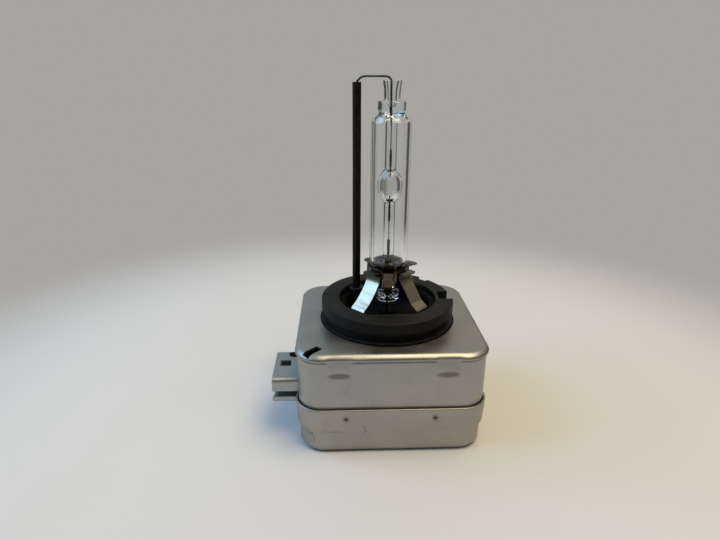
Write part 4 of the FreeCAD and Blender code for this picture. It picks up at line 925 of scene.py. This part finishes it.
def make_collar():
    """Moulded collar with softened edges, key notches, recess, boss and tube well."""
    low, high = box_mm("base_collar")
    keeper = high.x
    flange = frame["record"]["mounts"][0]["dims"]["r_mm"]
    bm = bmesh.new()
    side = rounded_path([
        (RECESS_TOP, 0, 0.25), (flange, 0, 0.3), (flange, GROOVE_HIGH, 0.2),
        (GROOVE, GROOVE_HIGH - 0.05, 0.15), (GROOVE, GROOVE_LOW, 0.15),
        (16.1, GROOVE_LOW - 0.05, 0.1), (16.1, -5.7), (keeper, -5.72, 0.1), (keeper, low.z, 0.1),
        (LEAD_HOLE, low.z, 0.1), (LEAD_HOLE, RECESS_FLOOR, 0.1), (RECESS, RECESS_FLOOR, 0.35),
        (RECESS, -1.5, 0.2), (RECESS_TOP - 0.1, -1.45, 0.15),
    ], closed=True)
    lathe(bm, side, 192, closed=True)
    cutter = bmesh.new()
    add_box(cutter, (12.5, -2.2, KEY_LOW), (17.5, 2.2, 1))
    add_box(cutter, (14.4, -1.5, KEY_LOW), (17.5, 1.5, 1), 47)
    add_box(cutter, (14.0, -0.26, -0.65), (17.5, 0.26, 1), 175)
    add_sector(cutter, 15.35, 17.0, 7.0, 43.0, KEY_LOW, 1)
    for degrees in (225, 315, 45):
        add_box(cutter, (10.55, -2.05, -3.7), (10.95, 2.05, -0.4), degrees)
    bm = cut_away(bm, cutter, overlapping=True)
    front = rounded_path([
        (-6.2, -12.4, 0.5), (6.2, -12.4, 0.5), (5.2, -10.5, 0.6), (-5.2, -10.5, 0.6),
    ], closed=True)
    add_prism(bm, front, -4.4, -0.03)
    rod_low, rod_high = box_mm("return_insulator")
    rod = (rod_low + rod_high) / 2
    boss = [
        Vector((rod.x + BOSS * math.cos(a), rod.y + BOSS * math.sin(a)))
        for a in (TURN * k / 48 for k in range(48))
    ]
    add_prism(bm, boss, GROOVE_LOW, -0.35)

    def deep(p, normal):
        """Deep shade inside the recess."""
        return ramp_between(-p.z, 0.9, 1.6) * (math.hypot(p.x, p.y) < RECESS_TOP + 0.05)

    make_piece("collar_moulded", bm, "collar_plastic", "base_collar", crease=28, painted_shade=deep)


def add_prism(bm, points, low, high, soften=0.15):
    """Adds an upright block with a softened top edge over an outline; returns its vertices."""
    middle = sum(points, Vector((0, 0))) / len(points)
    rings = []
    for inset, height in (
        (0, low), (0, high - soften), (soften * 0.3, high - soften * 0.3), (soften, high)
    ):
        ring = [q + (middle - q).normalized() * inset for q in points]
        rings.append([Vector((*q, height)) for q in ring])
    return skin(bm, rings, cap=True)


def add_sector(bm, inner, outer, start, end, low, high):
    """Adds a closed curved block between two radii and two angles."""
    angles = [math.radians(start + (end - start) * k / 24) for k in range(25)]
    loop = circle(outer, angles) + circle(inner, reversed(angles))
    skin(bm, [[Vector((*q, z)) for q in loop] for z in (low, high)], cap=True)


# ---- case


SHELL_LOW, SHELL_HIGH = box_mm("upper_shell")
COVER_LOW, COVER_HIGH = box_mm("lower_cover")
HALF_X = SHELL_HIGH.x
HALF_Y = SHELL_HIGH.y - 0.45
TOP = SHELL_HIGH.z
RIM = COVER_HIGH.z
BOTTOM = COVER_LOW.z
CORNER = 5.5
PLATE = 0.5
EDGE = 1.0
HOLE = 16.4
DENTS = (-10.4, 9.5)
DENT_Z = RIM - 2.4
SHROUD_GAP = 0.15
ROUND = 8
LUG_X = 11.8
LUG_HALF = 2.5
BEAD_LOW, BEAD_HIGH = -7.1, -6.45
PAD_LOW, PAD_HIGH = -10.8, -9.2
NECK_LOW, NECK_HIGH = -18.35, -17.8
STEP = -24.6
BOTTOM_ROUND = 1.6
PLATE_WAVE, WALL_WAVE, COVER_WAVE = 0.03, 0.045, 0.07


def waviness(p, amount):
    """Small dents and bows of pressed sheet."""
    slow = noise.noise(Vector(p) * 0.09 + Vector((3.1, 7.7, 1.3)))
    quick = noise.noise(Vector(p) * 0.35 + Vector((9.2, 0.4, 5.5)))
    return amount * (slow + 0.3 * quick)


def lug_mask(q, out):
    """1 on the pressed lugs of the two long walls, 0 away from them."""
    if abs(out.y) < 0.9:
        return 0.0
    away = abs(abs(q.x) - LUG_X)
    return 1 - ramp_between(away, LUG_HALF - 0.35, LUG_HALF + 0.75)


def wall_offset(q, out, z):
    """How far the shell's wall stands out: rolled bead under the top edge, flush pads, neck."""
    near_corner = ramp_between(abs(q.x), LUG_X + LUG_HALF, LUG_X + LUG_HALF + 1.5)
    bead = (0.34 + 0.08 * near_corner) * ramp_between(z, BEAD_LOW, BEAD_HIGH)
    pressed = 0.22 + 0.16 * (1 - ramp_between(z, -8.6, -6.0))
    mask = lug_mask(q, out)
    neck = -0.08 * (1 - ramp_between(z, NECK_LOW, NECK_HIGH))
    return bead * (1 - mask) + pressed * ramp_between(z, PAD_LOW, PAD_HIGH) * mask + neck


def shell_painted_shade(p, normal):
    """Painted shade under the rolled bead, below the pads and in the seam above the cover."""
    out = Vector((normal.x, normal.y))
    mask = lug_mask(p, out)
    groove = ramp_between(p.z, -7.35, -6.95) * (1 - ramp_between(p.z, -6.75, -6.35)) * (1 - mask)
    away = math.hypot((abs(p.x) - LUG_X) / 2.95, p.z + 10.0)
    below = (1 - ramp_between(away, 0.55, 1.1)) if abs(out.y) > 0.5 else 0.0
    seam = 1 - ramp_between(p.z, -18.45, -18.1)
    return min(1.0, 0.5 * groove + 0.5 * below + 0.4 * seam)


def cover_painted_shade(p, normal):
    """Painted shade along the cover's bottom edge and round its punch marks."""
    edge = 0.45 * (1 - ramp_between(p.z, BOTTOM + 0.1, BOTTOM + 1.0))
    marks = 0.0
    for x in DENTS:
        away = math.hypot(p.x - x, p.z - DENT_Z)
        marks = max(marks, 0.7 * (1 - ramp_between(away, 0.3, 0.95)))
    return min(1.0, edge + marks)


def make_upper_shell():
    """Deep-drawn shell: plate round the collar, rolled edge, pressed lugs, necked-in skirt."""
    ring = outline(HALF_X, HALF_Y, CORNER, 0.42)
    heights = levels(
        TOP - EDGE, (-7.4, 0.12), (-11.0, 0.2), (-17.6, 0.9), (-18.6, 0.12), (SHELL_LOW.z, 0.8)
    )

    def plate_ring(amount, z):
        """A ring of the flat plate: the hole's circle at 0, the inset outline at 1."""
        flats = [(q.normalized() * HOLE).lerp(q - out * EDGE, amount) for q, out in ring]
        return [Vector((*q, z + waviness((*q, 0), PLATE_WAVE) * amount)) for q in flats]

    def wall_ring(inset, z, drop):
        """A ring of the wall, pushed in by inset."""

        def reach(q, out):
            """How far one point of the wall stands out, on the rolled edge or below it."""
            if drop > TOP - EDGE:
                stands = wall_offset(q, out, TOP - EDGE)
                return stands * ramp_between(drop, TOP, TOP - EDGE) - inset
            return wall_offset(q, out, drop) + waviness((q.x, q.y, z), WALL_WAVE) - inset

        return pushed(ring, z, reach)

    def skin_rings(depth):
        """The rings of one side of the sheet, from the hole to the skirt's end."""
        made = [plate_ring(k / 10, TOP - depth) for k in range(11)]
        for k in range(1, ROUND + 1):
            angle = TURN / 4 * k / ROUND
            drop = TOP - EDGE * (1 - math.cos(angle))
            radius = EDGE - depth
            z = TOP - EDGE + radius * math.cos(angle)
            made.append(wall_ring(EDGE - radius * math.sin(angle), z, drop))
        made += [wall_ring(depth, z, z) for z in heights[1:]]
        return made

    bm = bmesh.new()
    skin(bm, skin_rings(0.0) + skin_rings(PLATE)[::-1], closed=True)

    cutter = bmesh.new()
    add_box(cutter, (22.8, -0.95, TOP - 1.9), (27.0, 0.95, TOP + 1), 225)
    add_shroud_hole(cutter, -HALF_X - 2, -HALF_X + 2, box_mm("connector_shroud")[1].z + SHROUD_GAP)
    bm = cut_away(bm, cutter)
    make_piece(
        "upper_shell_pressed", bm, "case_metal", "upper_shell", crease=40, painted_shade=shell_painted_shade
    )


def make_lower_cover():
    """Pressed cover: lapping skirt with a rolled rim, soft step, punch marks, flat floor."""
    half_x, half_y = COVER_HIGH.x, COVER_HIGH.y
    corner = CORNER + half_x - HALF_X
    ring = outline(half_x, half_y, corner, 0.45)

    def cover_ring(inset, z):
        """A ring of the cover, pushed in by inset, with the step under its skirt."""
        stepped = 1 - ramp_between(z, STEP - 0.9, STEP + 0.8)
        flare = 0.20 * (1 - ramp_between(z, RIM - 6.0, RIM))

        def reach(q, out):
            """How far one point of the wall stands out; the step is deeper on the end walls."""
            step = (0.12 + 0.5 * abs(out.x)) * stepped
            return -step - flare - inset + waviness((q.x, q.y, z), COVER_WAVE) - 0.06

        return pushed(ring, z, reach)

    def side_rings(depth, floor):
        """The rings of one side of the sheet from the rim to near the middle of the floor."""
        bend = BOTTOM + BOTTOM_ROUND
        heights = levels(RIM - 0.2, (STEP + 0.8, 0.6), (STEP - 0.9, 0.17), (bend, 0.6))
        made = [cover_ring(depth, z) for z in heights]
        radius = BOTTOM_ROUND - depth
        for k in range(1, ROUND + 1):
            angle = TURN / 4 * k / ROUND
            z = floor + radius * (1 - math.sin(angle))
            made.append(cover_ring(depth + radius * (1 - math.cos(angle)), z))
        last = made[-1]
        for share in (0.85, 0.6, 0.3, 0.02):
            made.append([Vector((v.x * share, v.y * share, floor)) for v in last])
        return made

    rim = []
    for k in range(1, 6):
        angle = math.pi * k / 6
        inset = PLATE / 2 * (1 + math.cos(angle))
        rim.append(cover_ring(inset, RIM - 0.2 + 0.2 * math.sin(angle)))
    bm = bmesh.new()
    inside, outside = side_rings(PLATE, BOTTOM + PLATE), side_rings(0.0, BOTTOM)
    skin(bm, inside[::-1] + rim + outside, cap=True)

    cutter = bmesh.new()
    add_shroud_hole(cutter, -half_x - 2, -half_x + 2.5, RIM + 2)
    for side in (-1, 1):
        for x in DENTS:
            add_punch(cutter, x, (half_y - 0.05) * side, DENT_Z, side)
    bm = cut_away(bm, cutter)
    make_piece(
        "lower_cover_pressed", bm, "case_metal", "lower_cover",
        crease=40, painted_shade=cover_painted_shade, material=COVER_METAL,
    )


def add_shroud_hole(bm, start, end, top):
    """The opening in the left wall that the socket shroud comes out of."""
    low, high = box_mm("connector_shroud")
    add_box(
        bm, (start, low.y - SHROUD_GAP, low.z - SHROUD_GAP), (end, high.y + SHROUD_GAP, top)
    )


def add_punch(bm, x, y, z, side):
    """A three-sided punch point that dents the wall."""
    made = bmesh.ops.create_cone(
        bm, cap_ends=True, segments=3, radius1=0.85, radius2=0.05, depth=1.0
    )
    lean = Matrix.Rotation(math.radians(90) * side, 4, "X")
    turn = lean @ Matrix.Rotation(math.radians(30), 4, "Z")
    bmesh.ops.transform(bm, matrix=Matrix.Translation((x, y, z)) @ turn, verts=made["verts"])


def make_shroud():
    """Folded socket shroud: rounded tube with a latch window, a rounded notch and a side slot."""
    low, high = box_mm("connector_shroud")
    sheet = 0.45

    def section(inset):
        """The rounded rectangle of the tube, in (y, z), pushed in by inset."""
        corner = 0.95 - inset
        return rounded_path([
            (low.y + inset, low.z + inset, corner), (high.y - inset, low.z + inset, corner),
            (high.y - inset, high.z - inset, corner), (low.y + inset, high.z - inset, corner),
        ], closed=True, step=15)

    def tube_ring(inset, x):
        """One ring of the tube at a place along X."""
        return [Vector((x, q.x, q.y)) for q in section(inset)]

    mouth = low.x
    places = levels(mouth + 0.12, (high.x, 1.0))
    rings = [tube_ring(0.0, x) for x in places]
    rings += [tube_ring(sheet, x) for x in reversed(places)]
    rings += [tube_ring(sheet - 0.12, mouth), tube_ring(0.12, mouth)]
    bm = bmesh.new()
    skin(bm, rings, closed=True)
    cutter = bmesh.new()
    roof = high.z
    window = [(-26.1, -7.5, 0.25), (-23.5, -7.5, 0.25), (-23.5, -4.8, 0.25), (-26.1, -4.8, 0.25)]
    notch = [(-24.3, -3.4, 1.2), (-21.0, -3.4), (-21.0, -0.75), (-24.3, -0.75, 1.2)]
    for opening in (window, notch):
        add_prism(cutter, rounded_path(opening, closed=True), roof - 0.8, roof + 1, soften=0.01)
    add_box(cutter, (-28.0, low.y - 1, -19.55), (-21.6, low.y + 0.8, -18.0))
    bm = cut_away(bm, cutter)
    middle = (low + high) / 2

    def inside_dark(p, normal):
        """Deep shade on the faces that look into the tube."""
        inward = (p.y - middle.y) * normal.y + (p.z - middle.z) * normal.z < 0
        return 0.95 if inward and p.x > mouth + 0.6 else 0.0

    make_piece(
        "plug_shroud_folded", bm, "shroud_metal", "connector_shroud", crease=40, painted_shade=inside_dark
    )


# ---- stage, light and camera


PLAIN_WALL = (0.385, 0.372, 0.355)
DARK_FRONT = (0.10, 0.10, 0.10)
COOL_SIDE = (0.36, 0.42, 0.47)
WARM_SIDE = (0.17, 0.15, 0.12)
RIGHT_FLAG = (0.05, 0.048, 0.04)
LEFT_FLAG = (0.13, 0.14, 0.125)
COOL_BACK = (0.35, 0.45, 0.52)
WARM_BACK = (0.49, 0.45, 0.35)
CEILING = (0.30, 0.29, 0.28)
CAMERA_PLACE = (-11.44, -116.27, 50.50)
CAMERA_DOWN, CAMERA_TURN, CAMERA_ROLL = 20.6, -2.339, 0.316
LENS, SENSOR = 25.89, 36.0


def make_stage():
    """A plain pale floor that fades into the plain backdrop away from the part."""
    bpy.ops.mesh.primitive_circle_add(
        vertices=96, radius=0.4, fill_type="NGON", location=(0, 0, BOTTOM * MM)
    )
    floor = bpy.context.object
    floor.name = "floor"
    p = Paint("floor_paper", (0.745, 0.745, 0.755), 0.8, Specular_IOR_Level=0.2)
    reach = p.vector("LENGTH", p.where, output="Value")
    p.bump(p.noise(0.8, 3.0, 0.6), 0.01, 0.2)
    p.color(p.mix(p.noise(30.0, 2.0, 0.5), (0.735, 0.735, 0.745), (0.755, 0.755, 0.765)))
    clear = p.node("BsdfTransparent").outputs[0]
    feeds = {0: p.span(reach, 0.085, 0.175), 1: p.shader.outputs[0], 2: clear}
    surface = p.tree.nodes["Material Output"].inputs["Surface"]
    p.feed(surface, p.node("MixShader", feeds).outputs[0])
    floor.data.materials.append(p.material)


def add_area(name, place, target, size, power, color):
    """A soft rectangular light that points at a target."""
    data = bpy.data.lights.new(name, "AREA")
    data.shape = "RECTANGLE"
    data.size, data.size_y = size
    data.energy = power
    data.color = color
    light = bpy.data.objects.new(name, data)
    light.location = place
    light.rotation_euler = (Vector(target) - Vector(place)).to_track_quat("-Z", "Y").to_euler()
    bpy.context.collection.objects.link(light)


def surround(n):
    """What the part reflects: darker in front, cool on the left, with dark flags behind it."""
    way = n.node("SeparateXYZ", {0: n.node("TexCoord").outputs["Generated"]})

    def ramp(axis, low, high):
        """0 to 1 between two values of one component of the direction."""
        return n.span(way.outputs[axis], low, high)

    sides = n.mix(ramp("X", -0.75, 0.75), COOL_SIDE, WARM_SIDE)
    walls = n.mix(ramp("Y", -0.35, 0.55), DARK_FRONT, PLAIN_WALL)
    mixed = n.mix(ramp("Y", -0.2, 0.8), sides, walls)
    front = n.mix(ramp("Y", -0.8, -0.1), walls, mixed)
    level = n.both(ramp("Y", 0.15, 0.35), ramp("Z", 0.38, 0.18))
    flags = n.mix(n.both(ramp("X", 0.52, 0.66), level), front, RIGHT_FLAG)
    flags = n.mix(n.both(ramp("X", -0.52, -0.66), level), flags, LEFT_FLAG)
    tinted = n.mix(ramp("X", -0.15, 0.35), COOL_BACK, WARM_BACK)
    above = n.mix(n.both(ramp("Y", 0.3, 0.6), ramp("Z", 0.15, 0.35)), flags, tinted)
    return n.mix(ramp("Z", 0.55, 0.95), above, CEILING)


def make_lights():
    """A plain wall for the camera, a surround for reflections, a cool window and a warm lamp."""
    world = bpy.data.worlds.new("studio")
    world.use_nodes = True
    n = Nodes(world.node_tree)
    room = n.tree.nodes["Background"]
    n.feed(room.inputs["Color"], surround(n))
    plain = n.node("Background", {"Color": PLAIN_WALL})
    to_camera = n.node("LightPath").outputs["Is Camera Ray"]
    chosen = n.node("MixShader", {0: to_camera, 1: room.outputs[0], 2: plain.outputs[0]})
    n.feed(n.tree.nodes["World Output"].inputs["Surface"], chosen.outputs[0])
    bpy.context.scene.world = world
    add_area("window", (-0.36, 0.03, 0.27), (0, 0, 0), (0.34, 0.30), 0.95, (0.36, 0.63, 1.0))
    add_area("lamp", (0.13, -0.07, 0.46), (0, 0, 0), (0.30, 0.30), 1.6, (1.0, 0.82, 0.52))
    bpy.context.scene.view_settings.view_transform = "Standard"


def make_camera():
    """The view: above and in front, turned a little to the right, with a slight roll."""
    data = bpy.data.cameras.new("camera")
    data.sensor_width = SENSOR
    data.lens = LENS
    data.clip_start = 0.005
    camera = bpy.data.objects.new("camera", data)
    aim = (
        Matrix.Rotation(math.radians(CAMERA_TURN), 4, "Z")
        @ Matrix.Rotation(math.radians(90 - CAMERA_DOWN), 4, "X")
        @ Matrix.Rotation(math.radians(CAMERA_ROLL), 4, "Z")
    )
    camera.matrix_world = Matrix.Translation(Vector(CAMERA_PLACE) * MM) @ aim
    bpy.context.collection.objects.link(camera)
    bpy.context.scene.camera = camera


# ---- assembly


def paint_cad_nodes():
    """Gives every CAD node that stays visible the material of its slot."""
    for part in frame["record"]["subparts"]:
        paint(frame["nodes"][part["node"]], MATERIALS[part["material_slot"]])


paint_cad_nodes()
make_burner_glass()
make_return_wire()
make_electrode("electrode_upper")
make_electrode("electrode_lower")
make_foil("foil_upper")
make_foil("foil_lower")
make_insulator()
make_clamp()
make_leg("holder_leg_front_left", 225, 0.0)
make_leg("holder_leg_front_right", 315, 1.0)
make_leg("holder_leg_rear_right", 45, 0.5)
make_collar()
make_upper_shell()
make_lower_cover()
make_shroud()
make_stage()
make_lights()
make_camera()
